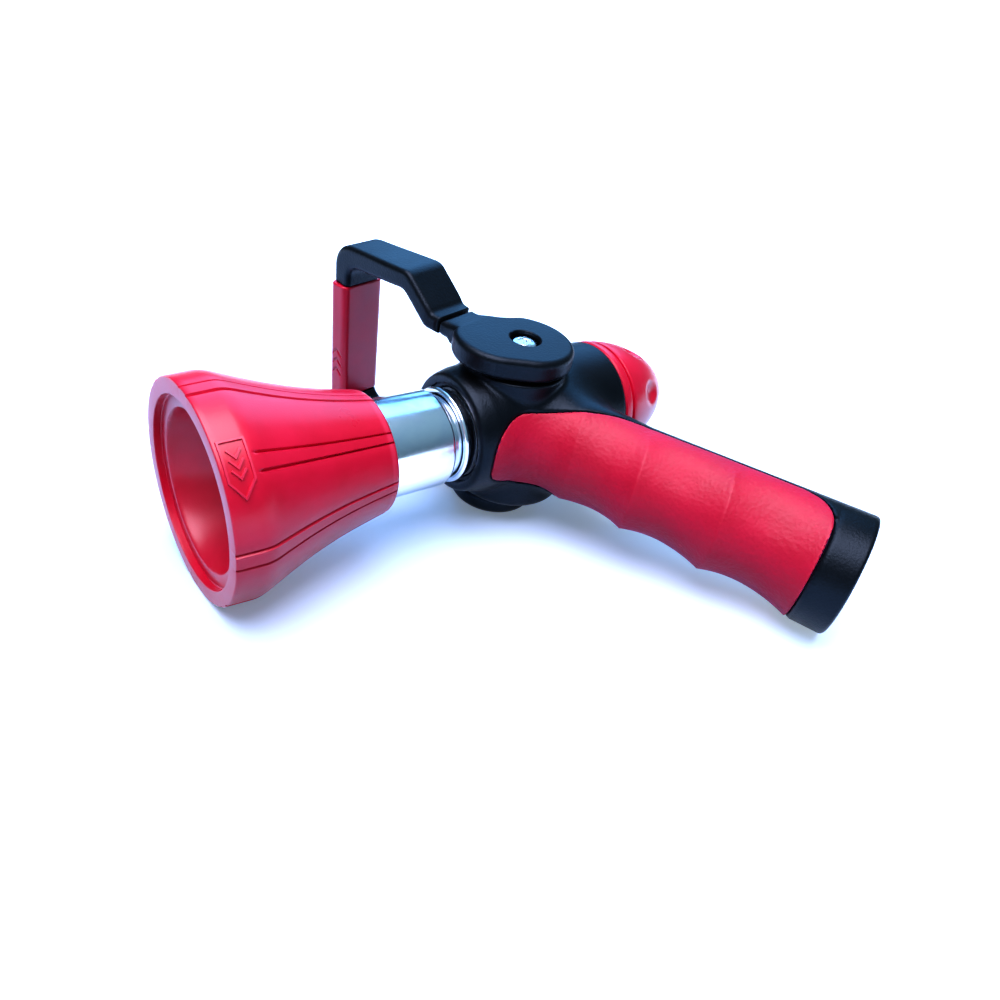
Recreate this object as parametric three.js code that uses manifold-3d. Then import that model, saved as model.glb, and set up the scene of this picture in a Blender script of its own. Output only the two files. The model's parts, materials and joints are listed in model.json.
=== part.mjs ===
// Fireman-style garden hose nozzle with a pistol grip, a bail lever and a twist bell.
//
// Frame, in millimetres: every piece is drawn with the origin where the lever's pivot axis
// crosses the barrel axis. The barrel lies along X with the bell towards -X, the grip leans away
// towards -Y and +X, and the lever turns about Z. The nozzle lies on its side, so Z is up, and
// the finished group is moved so that the middle of its underside is the origin.

import * as THREE from 'three';
import { mergeVertices } from 'three/addons/utils/BufferGeometryUtils.js';
import Module from 'manifold-3d';

const wasm = await Module();
wasm.setup();

// ---------- driving dimensions ----------

const CLEARANCE = 0.3;              // between neighbouring pieces
const FIT = 0.2;                    // between a piece and the pocket that holds it

// bell, from its front face to its rear edge
const BELL = {
  front: -91.9, frontRadius: 26.8, bandEnd: -84, bandRadius: 27.2, rear: -46, rearRadius: 16.2,
  rimInner: 22.8, stepDepth: 1.6, mouthRadius: 19.6, throat: -70, throatRadius: 8.6,
  ribs: 8, ribHalfAngle: 4.3, grooveHalfAngle: 0.75, grooveDepth: 0.55,
};
const INSERT = { front: -68, rear: -60.4, boreRadius: 11.3, radius: 13.0 };
const BELL_RING = { centre: -51, radius: 14.0, section: 0.6 };

// chrome barrel tube that the bell turns on
const TUBE = {
  nose: -65.4, shoulder: -57.6, noseRadius: 10.9, radius: 13.3, rear: -27.3, neckRadius: 11.6,
  tailShoulder: -19.3, tailRadius: 9.3, tail: -12.2, bore: 7.4,
};
const LIP = { front: -24.2, rear: -20.6, radius: 13.3, bore: 11.9 };

// spray stem held by a three-legged spider in the mouth of the tube
const SPIDER = { front: -64.6, rear: -61.4, hubRadius: 3.2, legs: 3, legWidth: 1.8 };
const DEFLECTOR = { front: -74.5, rear: -70.5, radius: 6.6, rodRadius: 1.6 };

// valve: ball, seat, stems and the casting round them
const BALL = { radius: 11, bore: 5.2, slotWidth: 3.6, slotDepth: 2.4 };
const CHAMBER_RADIUS = 11.6;
const SEAT = { front: -12, rear: -8.7, radius: 9.2, bore: 5.6 };
const SEAT_RING = { centre: -10.2, radius: 9.0, section: 0.4 };
const STEM = { radius: 4.5, base: 11.3, shoulder: 19.2, top: 22.4, square: 6.4, screwBore: 2.3 };
const STEM_RING = { centre: 15.2, radius: 4.15, section: 0.5 };
const CASTING = {
  front: -19.0, frontRadius: 12.4, radius: 14.8, rear: 30.4, bossRadius: 10.5, bossTop: 18.8,
  pipeRadius: 9.2, pipeBore: 6.2, tailRadius: 8.0,
};
const PLUG = { front: 13.2, rear: 39, radius: 11.3, hollow: 7.5, hollowFront: 20 };
const PLUG_RING = { centre: 17, radius: 10.65, section: 0.7 };

// black overmould: barrel housing, pivot bosses and grip
const HOUSING = { front: -20.9, frontRadius: 16.5, radius: 18.2, rear: 31, mouth: 13.9 };
const UPPER_BOSS = { top: 19.3, radius: 14.5, edge: 1.6, offsetX: -1.3, offsetY: 0.8 };
const LOWER_BOSS = { top: 19.3, radius: 16.6, edge: 2.6, offsetX: 1.5, offsetY: -1 };

// grip, measured along its own axis from the inlet face (0) back towards the barrel (negative)
const GRIP = {
  endX: 42.96, endY: -92.2, angle: -1.14, length: 100, cuffRadius: 16.8, waist: -62,
  backWaist: 14.2, sideWaist: 14.4, sideRoot: 16, ridgeSkew: 5,
};
// Finger side of the grip, [along, radius]: three shallow finger hollows between ridges.
const FINGER_SIDE = [
  [-100, 13.4], [-86, 12.6], [-76.5, 13.0], [-72, 12.5], [-63, 13.4], [-57, 15], [-52, 13.1],
  [-44, 12.9], [-36.5, 14.5], [-33, 15], [-28.5, 13.6], [-21, 13.3], [-13.5, 15], [-8.5, 16.9],
  [-0.7, 16.9], [0, 16.8],
];
const PANEL = {
  depth: 1.7, cuffEdge: -9.2, sideStart: -2.2, sideEnd: -5.2, nose: -93.8, noseStart: -82,
  noseLow: -12.2, noseHigh: 14.6, noseRound: 6.5, bodyStart: -71, bodyHalf: 22,
};

// inlet coupling with a 3/4 inch garden hose thread (major diameter 27.2)
const INLET = {
  face: -0.7, radius: 15.2, shoulder: -8.8, seatRadius: 13.8, rear: -13.2, neck: -22,
  neckRadius: 10, neckBore: 8.3, threadRadius: 13.6, crest: 12.75, pitch: 2.21, threadEnd: -8.4,
  washerRadius: 13.2, seat: -11.7, hole: 6.4,
};
const WASHER = { front: -9.4, rear: -11.5, radius: 12.9, hole: 6.9 };

// red service cap on the rear of the housing
const CAP = {
  front: 31.3, flangeRadius: 18.2, flangeEnd: 33.8, groove: 34.6, grooveRadius: 17.2, domeStart: 35.4,
  radius: 17.8, tip: 60.4, domePower: 1.46, end: 58.8, skirtRadius: 11.6, skirtEnd: 42, wall: 2.4,
};
const DIMPLE = { count: 6, first: 150, x: 48.2, reach: 19.8, radius: 7 };
const CAP_RING = { centre: 31.6, radius: 16.4, section: 0.45 };

// lever: hub plates on the stems, strap bail and its sleeve
const BAIL_ANGLE = 105.5;           // direction of the bail from the pivot at rest, degrees from +X
const HUB = {
  base: 19.7, top: 26.2, radius: 13.3, lobeR: 4.1, lobeW: 5.2, lobeRadius: 12.5,
  upperBevel: 1.4, lowerBevel: 3, trimStart: 17.6, trimTop: 25.4, trimBase: 20.6,
  neckEnd: 20.8, neckLow: -1.9, neckHigh: 11.5, recess: 4.4, recessFloor: 23.4, socket: 6.8,
};
const TANG = { end: 25.2, low: 21.9, high: 24.3, halfWidth: 4.6 };
const STRAP = {
  start: 21.1, kinkLow: 23.8, kinkHigh: 34.6, lowZ: 25.6, highZ: 33.6, cornerZ: 31.2,
  thickness: 5.6, outer: 65.2, cornerRadius: 6.5, halfWidth: 7.7, barHalfWidth: 6.9,
  neckOffset: 4.8, cornerOffset: 2.5,
};
const SLEEVE = {
  bottom: -21.4, top: 17.8, inner: 58.9, outer: 65.5, halfWidth: 8.1, round: 2.0, coreInset: 1.2,
};
const SCREW = { headRadius: 3.6, headTop: 25.9, shankRadius: 1.95, end: 13.4 };

// ---------- frames ----------

const deg = THREE.MathUtils.degToRad;
const ALONG_X = new THREE.Matrix4().makeRotationZ(-Math.PI / 2);
const ALONG_Z = new THREE.Matrix4().makeRotationX(Math.PI / 2);
const GRIP_FRAME = new THREE.Matrix4()
  .makeTranslation(GRIP.endX, GRIP.endY, 0)
  .multiply(new THREE.Matrix4().makeRotationZ(GRIP.angle - Math.PI / 2));
// In the bail frame x runs out from the pivot, y across the strap and z along the pivot.
const BAIL_FRAME = new THREE.Matrix4().makeRotationZ(deg(BAIL_ANGLE));
const UNDER_FRAME = BAIL_FRAME.clone().multiply(new THREE.Matrix4().makeRotationX(Math.PI));
// The bar leans across the bail because each arm swings out towards its own hub.
const BAR_FRAME = BAIL_FRAME.clone().multiply(
  new THREE.Matrix4().makeShear(0, 0, 0, 0, 0, STRAP.cornerOffset / STRAP.cornerZ),
);
// Half a turn about the bail's own direction carries each upper lever piece to the lower side.
const HALF_TURN = UNDER_FRAME.clone().multiply(BAIL_FRAME.clone().invert());
const BELOW = new THREE.Matrix4().makeRotationX(Math.PI).multiply(ALONG_Z);

// ---------- solids ----------

// A closed three.js geometry as a solid that can be cut and joined.
function toSolid(geometry, frame = new THREE.Matrix4()) {
  const bare = geometry.clone().applyMatrix4(frame);
  bare.deleteAttribute('normal');
  bare.deleteAttribute('uv');
  const merged = mergeVertices(bare, 1e-4);
  const faces = [];
  for (let i = 0; i < merged.index.count; i += 3) {
    const [a, b, c] = [0, 1, 2].map((k) => merged.index.getX(i + k));
    if (a !== b && b !== c && c !== a) faces.push(a, b, c);
  }
  return new wasm.Manifold(new wasm.Mesh({
    numProp: 3,
    vertProperties: Float32Array.from(merged.attributes.position.array),
    triVerts: Uint32Array.from(faces),
  }));
}

function toGeometry(solid, frame) {
  const mesh = solid.getMesh();
  const geometry = new THREE.BufferGeometry();
  geometry.setAttribute('position', new THREE.BufferAttribute(mesh.vertProperties, 3));
  geometry.setIndex(new THREE.BufferAttribute(mesh.triVerts, 1));
  geometry.applyMatrix4(frame);
  geometry.computeVertexNormals();
  return geometry;
}

// A piece turned from [radius, height] pairs. A profile off the axis closes on itself.
function turned(profile, frame, segments = 30) {
  const points = profile.map(([radius, height]) => new THREE.Vector2(radius, height));
  if (THREE.ShapeUtils.area(points) < 0) points.reverse();
  const solidCore = points[0].x === 0 && points[points.length - 1].x === 0;
  if (!solidCore) points.push(points[0].clone());
  return toSolid(new THREE.LatheGeometry(points, segments), frame);
}

function cylinder(radius, from, to, frame, segments = 24) {
  return turned([[0, from], [radius, from], [radius, to], [0, to]], frame, segments);
}

function ring(outer, inner, from, to, frame, segments = 28) {
  return turned([[inner, from], [outer, from], [outer, to], [inner, to]], frame, segments);
}

function oRing({ centre, radius, section }, frame, segments = 24) {
  const torus = new THREE.TorusGeometry(radius, section, 5, segments);
  const upright = new THREE.Matrix4().makeRotationX(Math.PI / 2);
  const lift = new THREE.Matrix4().makeTranslation(0, centre, 0);
  return toSolid(torus, frame.clone().multiply(lift).multiply(upright));
}

function box(min, max, frame = new THREE.Matrix4()) {
  const size = max.map((value, i) => value - min[i]);
  const middle = max.map((value, i) => (value + min[i]) / 2);
  const geometry = new THREE.BoxGeometry(...size).translate(...middle);
  return toSolid(geometry, frame);
}

// A flat outline in XY, raised from one height to another, with an optional bevelled rim.
function plate(shape, from, to, frame = new THREE.Matrix4(), bevel = 0, curveSegments = 10) {
  const geometry = new THREE.ExtrudeGeometry(shape, {
    depth: to - from - 2 * bevel,
    bevelEnabled: bevel > 0,
    bevelThickness: bevel,
    bevelSize: bevel,
    bevelOffset: -bevel,
    bevelSegments: 2,
    curveSegments,
  });
  geometry.translate(0, 0, from + bevel);
  return toSolid(geometry, frame);
}

// ---------- bell and barrel ----------

// Radius of the bell's outside: a nearly straight front band, then a concave flare.
function bellRadius(x) {
  if (x < BELL.bandEnd) {
    const t = (x - BELL.front) / (BELL.bandEnd - BELL.front);
    return THREE.MathUtils.lerp(BELL.frontRadius, BELL.bandRadius, t);
  }
  const t = (x - BELL.bandEnd) / (BELL.rear - BELL.bandEnd);
  const sag = 1.35 * Math.sin(Math.PI * t);
  return THREE.MathUtils.lerp(BELL.bandRadius, BELL.rearRadius, t) - sag;
}

// Depth of the V grooves that run either side of each rib.
function grooveDepth(angle) {
  const sector = 360 / BELL.ribs;
  const offset = Math.abs(angle - sector * Math.round(angle / sector));
  const fromGroove = Math.abs(offset - BELL.ribHalfAngle);
  return BELL.grooveDepth * Math.max(0, 1 - fromGroove / BELL.grooveHalfAngle);
}

function bellOuter() {
  const stations = [BELL.front, -91.2, BELL.bandEnd, -75, -65, -56, -47.2, BELL.rear];
  const sector = 360 / BELL.ribs;
  const { ribHalfAngle: rib, grooveHalfAngle: half } = BELL;
  const steps = [0, rib - half, rib, rib + half, sector / 3, (2 * sector) / 3];
  steps.push(sector - rib - half, sector - rib, sector - rib + half);
  const around = steps.length * BELL.ribs;
  const geometry = new THREE.CylinderGeometry(1, 1, 1, around, stations.length - 1);
  const position = geometry.attributes.position;
  for (let i = 0; i < position.count; i += 1) {
    const turn = Math.atan2(position.getX(i), position.getZ(i)) / (2 * Math.PI);
    const step = Math.round((turn < 0 ? turn + 1 : turn) * around) % around;
    const angle = sector * Math.floor(step / steps.length) + steps[step % steps.length];
    const row = Math.round((position.getY(i) + 0.5) * (stations.length - 1));
    const onAxis = Math.hypot(position.getX(i), position.getZ(i)) < 0.5;
    const ends = row === 0 || row === stations.length - 1;
    const radius = bellRadius(stations[row]) - (ends ? 0.6 : 0) - grooveDepth(angle);
    const reach = onAxis ? 0 : radius;
    position.setXYZ(i, reach * Math.sin(deg(angle)), stations[row], reach * Math.cos(deg(angle)));
  }
  return toSolid(geometry, ALONG_X);
}

function makeBell() {
  const { front, stepDepth, mouthRadius, throat, throatRadius } = BELL;
  const floor = front + stepDepth;
  const hollow = turned([
    [0, front - 1], [BELL.rimInner, front - 1], [BELL.rimInner - 0.3, floor], [mouthRadius, floor],
    [mouthRadius - 0.5, floor + 1.5], [15.5, -82], [11.2, -75], [throatRadius, throat],
    [throatRadius, INSERT.front - FIT], [INSERT.radius + FIT, INSERT.front - FIT],
    [INSERT.radius + FIT, INSERT.rear + FIT], [TUBE.radius + CLEARANCE, INSERT.rear + FIT],
    [TUBE.radius + CLEARANCE, BELL_RING.centre - 0.9], [14.8, BELL_RING.centre - 0.9],
    [14.8, BELL_RING.centre + 0.9], [TUBE.radius + CLEARANCE, BELL_RING.centre + 0.9],
    [TUBE.radius + CLEARANCE, BELL.rear + 1], [0, BELL.rear + 1],
  ], ALONG_X, 32);
  return bellOuter().subtract(hollow);
}

// Threaded metal bush pressed into the bell; it runs on the nose of the tube.
function makeBellInsert() {
  const profile = [[INSERT.radius, INSERT.front], [INSERT.radius, INSERT.rear]];
  const crests = 4;
  const pitch = (INSERT.rear - INSERT.front) / crests;
  for (let i = crests; i > 0; i -= 1) {
    profile.push([INSERT.boreRadius + 0.5, INSERT.front + i * pitch]);
    profile.push([INSERT.boreRadius, INSERT.front + (i - 0.5) * pitch]);
  }
  profile.push([INSERT.boreRadius + 0.5, INSERT.front]);
  return turned(profile, ALONG_X, 24);
}

function makeTube() {
  const { nose, shoulder, noseRadius, radius, rear, neckRadius, tailShoulder, tailRadius, tail } = TUBE;
  return turned([
    [TUBE.bore, tail], [tailRadius, tail], [tailRadius, tailShoulder], [neckRadius, tailShoulder],
    [neckRadius, rear + 0.4], [radius - 0.5, rear + 0.4], [radius, rear - 0.3],
    [radius, shoulder + 0.6], [radius - 0.6, shoulder], [noseRadius, shoulder],
    [noseRadius, nose + 0.5], [noseRadius - 0.5, nose], [9.8, nose], [9.8, SPIDER.rear + FIT],
    [TUBE.bore, SPIDER.rear + FIT],
  ], ALONG_X, 32);
}

function makeLipRing() {
  const { front, rear, radius, bore } = LIP;
  return turned([
    [bore, front], [radius - 0.5, front], [radius, front + 0.5], [radius, front + 1.8],
    [radius - 0.7, front + 2.4], [radius - 0.7, rear], [bore, rear],
  ], ALONG_X, 32);
}

function makeSpider() {
  const { front, rear, hubRadius, legs, legWidth } = SPIDER;
  let spider = ring(9.6, 7.6, front, rear, ALONG_X, 24);
  spider = spider.add(cylinder(hubRadius, front, rear, ALONG_X, 24));
  for (let i = 0; i < legs; i += 1) {
    const turn = new THREE.Matrix4().makeRotationX((i * 2 * Math.PI) / legs);
    spider = spider.add(box([front, -legWidth / 2, 2], [rear, legWidth / 2, 8.4], turn));
  }
  return spider.subtract(cylinder(DEFLECTOR.rodRadius + FIT, front - 1, rear + 1, ALONG_X, 24));
}

function makeSprayStem() {
  const { front, rear, radius, rodRadius } = DEFLECTOR;
  return turned([
    [0, front], [radius - 1.2, front], [radius, front + 1], [radius - 0.6, rear - 1.2],
    [3.4, rear], [rodRadius + 0.8, rear + 1], [rodRadius + 0.8, SPIDER.front - FIT],
    [rodRadius, SPIDER.front - FIT], [rodRadius, SPIDER.rear + 2.4], [0, SPIDER.rear + 2.4],
  ], ALONG_X, 20);
}

// ---------- valve ----------

function portAlong(angle, radius, from, to) {
  return cylinder(radius, from, to, new THREE.Matrix4().makeRotationZ(deg(angle - 90)), 24);
}

// The ball stands half way between open and shut, 45 degrees past the open ports.
function makeBall() {
  const gripDegrees = THREE.MathUtils.radToDeg(GRIP.angle);
  const halfTurn = 45;
  const upright = new THREE.Matrix4().makeRotationX(Math.PI / 2);
  let ball = toSolid(new THREE.SphereGeometry(BALL.radius, 24, 14), upright);
  ball = ball.subtract(portAlong(180 + halfTurn, BALL.bore, -2, BALL.radius + 1));
  ball = ball.subtract(portAlong(gripDegrees + halfTurn, BALL.bore, -2, BALL.radius + 1));
  const half = BALL.slotWidth / 2;
  const floor = BALL.radius - BALL.slotDepth;
  for (const side of [-1, 1]) {
    const low = Math.min(side * floor, side * (BALL.radius + 1));
    const high = Math.max(side * floor, side * (BALL.radius + 1));
    ball = ball.subtract(box([-12, -half, low], [12, half, high], BAIL_FRAME));
  }
  return ball;
}

function makeSeat() {
  const { front, rear, radius, bore } = SEAT;
  return turned([
    [bore, front], [radius, front], [radius, SEAT_RING.centre - 0.7], [8.5, SEAT_RING.centre - 0.7],
    [8.5, SEAT_RING.centre + 0.7], [radius, SEAT_RING.centre + 0.7], [radius, rear + 0.8],
    [8.0, rear + 0.8], [bore + 0.5, rear - 0.9], [bore, rear - 0.9],
  ], ALONG_X, 24);
}

function makeStem() {
  const { radius, base, shoulder, top, square, screwBore } = STEM;
  const { centre, section } = STEM_RING;
  const reach = section + 0.15;
  const grooveRadius = STEM_RING.radius - section - 0.1;
  let stem = turned([
    [0, base], [radius, base], [radius, centre - reach], [grooveRadius, centre - reach],
    [grooveRadius, centre + reach], [radius, centre + reach], [radius, shoulder], [0, shoulder],
  ], ALONG_Z, 18);
  const half = square / 2;
  stem = stem.add(box([-half, -half, shoulder - 1], [half, half, top], BAIL_FRAME));
  const tang = BALL.slotWidth / 2 - CLEARANCE;
  const tip = BALL.radius - BALL.slotDepth + CLEARANCE;
  stem = stem.add(box([-3.8, -tang, tip], [3.8, tang, base + 1], BAIL_FRAME));
  return stem.subtract(cylinder(screwBore, 12.8, top + 1, ALONG_Z, 16));
}

function makeCasting() {
  const { front, frontRadius, radius, rear, bossRadius, bossTop, pipeRadius, pipeBore } = CASTING;
  let body = turned([
    [0, front], [frontRadius, front], [frontRadius, -15.5], [radius, -13.5],
    [radius, rear], [0, rear],
  ], ALONG_X);
  body = body.add(cylinder(bossRadius, -bossTop, bossTop, ALONG_Z));
  body = body.add(cylinder(pipeRadius, -96, INLET.neck - 1, GRIP_FRAME));
  body = body.add(cylinder(CASTING.tailRadius, -40, INLET.rear - 1, GRIP_FRAME));
  const barrelBore = turned([
    [0, front - 1], [TUBE.tailRadius + FIT, front - 1], [TUBE.tailRadius + FIT, -7],
    [CHAMBER_RADIUS, -6.4], [CHAMBER_RADIUS, rear + 1], [0, rear + 1],
  ], ALONG_X);
  body = body.subtract(barrelBore);
  body = body.subtract(cylinder(STEM.radius + CLEARANCE, -bossTop - 1, bossTop + 1, ALONG_Z));
  return body.subtract(cylinder(pipeBore, -95, INLET.rear + 1, GRIP_FRAME));
}

function makePlug() {
  const { front, rear, radius, hollow, hollowFront } = PLUG;
  const { centre } = PLUG_RING;
  return turned([
    [0, front], [radius - 1, front], [radius, front + 1], [radius, centre - 0.9],
    [radius - 1.5, centre - 0.9], [radius - 1.5, centre + 0.9], [radius, centre + 0.9],
    [radius, rear], [hollow, rear], [hollow, hollowFront], [0, hollowFront],
  ], ALONG_X, 24);
}

// ---------- housing and grip ----------

// Value at a place in a list of [place, value] pairs, straight between them.
function along(pairs, place) {
  const after = pairs.findIndex(([start]) => start > place);
  if (after < 0) return pairs[pairs.length - 1][1];
  if (after === 0) return pairs[0][1];
  const [[x0, y0], [x1, y1]] = [pairs[after - 1], pairs[after]];
  return THREE.MathUtils.lerp(y0, y1, (place - x0) / (x1 - x0));
}

// Grip surface at a place along its axis and an angle round it; angle 0 faces the fingers.
function gripRadius(place, angle) {
  const { cuffRadius, waist, backWaist, sideWaist, sideRoot, length, ridgeSkew } = GRIP;
  const facing = Math.cos(angle);
  const ridgeShift = place < -10 ? ridgeSkew * (1 - Math.max(0, facing)) : 0;
  const fingers = along(FINGER_SIDE, Math.min(place + ridgeShift, 0));
  const back = along([[waist, backWaist], [0, cuffRadius]], place);
  const side = along([[-length, sideRoot], [waist, sideWaist], [0, cuffRadius]], place);
  const x = Math.cos(angle) / (facing > 0 ? fingers : back);
  const z = Math.sin(angle) / side;
  return 1 / Math.hypot(x, z);
}

function gripSolid(inset) {
  const around = 26;
  const stations = FINGER_SIDE.map(([place]) => place);
  const geometry = new THREE.CylinderGeometry(1, 1, 1, around, stations.length - 1);
  const position = geometry.attributes.position;
  for (let i = 0; i < position.count; i += 1) {
    const [x, z] = [position.getX(i), position.getZ(i)];
    const row = Math.round((position.getY(i) + 0.5) * (stations.length - 1));
    const place = stations[row];
    const angle = Math.atan2(z, x);
    const rim = place === 0 ? 0.6 : 0;
    const reach = Math.hypot(x, z) < 0.5 ? 0 : gripRadius(place, angle) - inset - rim;
    position.setXYZ(i, reach * Math.cos(angle), place, reach * Math.sin(angle));
  }
  return toSolid(geometry, GRIP_FRAME);
}

function bossSolid({ top, radius, edge, offsetX, offsetY }, frame, inset) {
  const r = radius - inset;
  const shift = new THREE.Matrix4().makeTranslation(offsetX, offsetY, 0).multiply(frame);
  return turned([
    [0, 0], [r, 0], [r, top - edge], [r - 0.3 * edge, top - 0.3 * edge], [r - edge, top], [0, top],
  ], shift, 28);
}

function bosses(inset) {
  return bossSolid(UPPER_BOSS, ALONG_Z, inset).add(bossSolid(LOWER_BOSS, BELOW, inset));
}

// Barrel housing and grip together, drawn in by the same inset everywhere.
function barrelAndGrip(inset) {
  const { front, frontRadius, radius, rear } = HOUSING;
  const barrel = turned([
    [0, front], [frontRadius - 0.6 - inset, front], [frontRadius + 0.2 - inset, front + 0.6],
    [radius - 0.3 - inset, -17], [radius - inset, -12], [radius + 0.1 - inset, rear - 0.5],
    [radius - 0.4 - inset, rear], [0, rear],
  ], ALONG_X, 36);
  return barrel.add(gripSolid(inset));
}

// Plan of the soft panel: a rounded nose on the housing, the finger side of the grip, and the
// edge of the cuff. Written in the grip frame as [towards the fingers, along the grip].
function panelShape(grow) {
  const { cuffEdge, sideStart, sideEnd } = PANEL;
  const shape = new THREE.Shape();
  shape.moveTo(30, cuffEdge + grow);
  shape.lineTo(7, cuffEdge + grow);
  shape.bezierCurveTo(3, cuffEdge + grow, sideEnd - grow, -11, sideEnd - grow, -18);
  shape.lineTo(sideStart - grow, -66);
  shape.bezierCurveTo(sideStart + 0.6 - grow, -75, 5, -81, 8.5 - grow, -86.5);
  shape.bezierCurveTo(11.5, -91.5 - grow, 15.5, -94.5 - grow, 20, -94.5 - grow);
  shape.bezierCurveTo(25, -94.5 - grow, 27 + grow, -92, 28 + grow, -88);
  shape.lineTo(30, -60);
  return shape;
}

// The panel seen from the finger side, [along, across]: full width, then a rounded nose.
function noseShape(grow) {
  const { nose, noseStart, noseLow, noseHigh, noseRound, bodyStart, bodyHalf } = PANEL;
  const [tip, low, high] = [nose - grow, noseLow - grow, noseHigh + grow];
  const shape = new THREE.Shape();
  shape.moveTo(5, -bodyHalf);
  shape.lineTo(5, bodyHalf);
  shape.lineTo(bodyStart, bodyHalf);
  shape.lineTo(noseStart, high);
  shape.lineTo(tip + noseRound, high);
  shape.quadraticCurveTo(tip, high, tip, high - noseRound);
  shape.lineTo(tip, low + noseRound);
  shape.quadraticCurveTo(tip, low, tip + noseRound, low);
  shape.lineTo(noseStart, low);
  shape.lineTo(bodyStart, -bodyHalf);
  return shape;
}

function panelRegion(grow) {
  const fromFingers = new THREE.Matrix4().makeBasis(
    new THREE.Vector3(0, 1, 0), new THREE.Vector3(0, 0, 1), new THREE.Vector3(1, 0, 0),
  );
  const nose = plate(noseShape(grow), -30, 40, GRIP_FRAME.clone().multiply(fromFingers), 0, 5);
  return plate(panelShape(grow), -24, 24, GRIP_FRAME, 0, 4).intersect(nose);
}

function makePanel() {
  const skin = barrelAndGrip(0).intersect(panelRegion(0));
  const guard = cylinder(INLET.seatRadius + 2 * FIT, INLET.rear - 0.5, 1, GRIP_FRAME, 30);
  return skin.subtract(barrelAndGrip(PANEL.depth)).subtract(bosses(-0.15)).subtract(guard);
}

function makeHousing() {
  const recess = panelRegion(0.12).subtract(barrelAndGrip(PANEL.depth + FIT));
  let housing = barrelAndGrip(0).subtract(recess).add(bosses(0));
  const { front, mouth, rear } = HOUSING;
  const { frontRadius, radius, bossRadius, bossTop, pipeRadius } = CASTING;
  housing = housing.subtract(turned([
    [0, front - 1], [mouth, front - 1], [mouth, -19.9], [frontRadius + FIT, -19.9],
    [frontRadius + FIT, -15.8], [radius + FIT, -13.8], [radius + FIT, rear + 1], [0, rear + 1],
  ], ALONG_X));
  housing = housing.subtract(cylinder(bossRadius + FIT, -bossTop - FIT, bossTop + FIT, ALONG_Z));
  housing = housing.subtract(cylinder(STEM.radius + 1.5, -bossTop - 2, bossTop + 2, ALONG_Z));
  housing = housing.subtract(cylinder(pipeRadius + FIT, -96, INLET.neck + 1, GRIP_FRAME));
  housing = housing.subtract(cylinder(INLET.neckRadius + FIT, INLET.neck - FIT, -1, GRIP_FRAME));
  return housing.subtract(turned([
    [0, INLET.rear - FIT], [INLET.seatRadius + FIT, INLET.rear - FIT],
    [INLET.seatRadius + FIT, INLET.shoulder - FIT], [INLET.radius + FIT, INLET.shoulder - FIT],
    [INLET.radius + FIT, 1], [0, 1],
  ], GRIP_FRAME));
}

// ---------- inlet ----------

function makeCoupling() {
  const { face, radius, shoulder, seatRadius, rear, neck, neckRadius, neckBore } = INLET;
  const { threadRadius, crest, pitch, threadEnd, washerRadius, seat, hole } = INLET;
  const profile = [
    [neckBore, neck], [neckRadius, neck], [neckRadius, rear], [seatRadius, rear],
    [seatRadius, shoulder], [radius, shoulder], [radius, face], [threadRadius + 0.5, face],
  ];
  const turns = Math.floor((face - threadEnd) / pitch);
  for (let i = 0; i < turns; i += 1) {
    const start = face - 0.5 - i * pitch;
    profile.push([threadRadius, start], [crest, start - 0.4 * pitch], [crest, start - 0.6 * pitch]);
  }
  profile.push([washerRadius, threadEnd - 0.4], [washerRadius, seat], [hole, seat]);
  profile.push([hole, rear + FIT], [neckBore, rear + FIT]);
  return turned(profile, GRIP_FRAME);
}

// ---------- rear cap ----------

function domeRadius(x) {
  const t = THREE.MathUtils.clamp((x - CAP.domeStart) / (CAP.tip - CAP.domeStart), 0, 1);
  return CAP.radius * Math.sqrt(1 - t ** CAP.domePower);
}

function makeCap() {
  const { front, flangeRadius, flangeEnd, groove, grooveRadius, domeStart, end, wall } = CAP;
  const profile = [[0, end]];
  const steps = 6;
  for (let i = steps; i >= 0; i -= 1) {
    const x = THREE.MathUtils.lerp(domeStart, end, Math.sin((i / steps) * (Math.PI / 2)));
    profile.push([domeRadius(x), x]);
  }
  profile.push([grooveRadius, groove + 0.3], [grooveRadius, groove - 0.3]);
  profile.push([flangeRadius - 0.2, flangeEnd], [flangeRadius, flangeEnd - 0.6]);
  profile.push([flangeRadius, front + 0.6], [flangeRadius - 0.5, front], [0, front]);
  let cap = turned(profile, ALONG_X, 32);
  const { skirtRadius, skirtEnd } = CAP;
  cap = cap.subtract(turned([
    [0, front - 1], [skirtRadius, front - 1], [skirtRadius, skirtEnd], [6, end - wall - 1],
    [0, end - wall],
  ], ALONG_X, 24));
  const { radius, section, centre } = CAP_RING;
  const depth = centre + section + 0.2;
  cap = cap.subtract(ring(radius + 0.7, radius - 0.7, front - 1, depth, ALONG_X, 24));
  for (let i = 0; i < DIMPLE.count; i += 1) {
    const turn = new THREE.Matrix4().makeRotationX(deg(DIMPLE.first + (360 * i) / DIMPLE.count));
    const hollow = new THREE.SphereGeometry(DIMPLE.radius, 12, 8);
    cap = cap.subtract(toSolid(hollow.translate(DIMPLE.x, DIMPLE.reach, 0), turn));
  }
  return cap;
}

// ---------- lever ----------

function hubShape() {
  const { radius, lobeR, lobeW, lobeRadius, neckEnd, neckLow, neckHigh } = HUB;
  const shape = new THREE.Shape();
  shape.moveTo(neckEnd, neckLow);
  shape.lineTo(17.5, neckLow);
  const farAngle = deg(-46);
  const far = [radius * Math.cos(farAngle), radius * Math.sin(farAngle)];
  shape.bezierCurveTo(14, neckLow - 0.6, far[0] + 2.0, far[1] + 4.2, far[0], far[1]);
  shape.absarc(0, 0, radius, farAngle, deg(-214), true);
  shape.absarc(lobeR, lobeW, lobeRadius, deg(148), deg(32), true);
  shape.bezierCurveTo(16, neckHigh + 0.4, 17, neckHigh, neckEnd, neckHigh);
  return shape;
}

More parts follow.
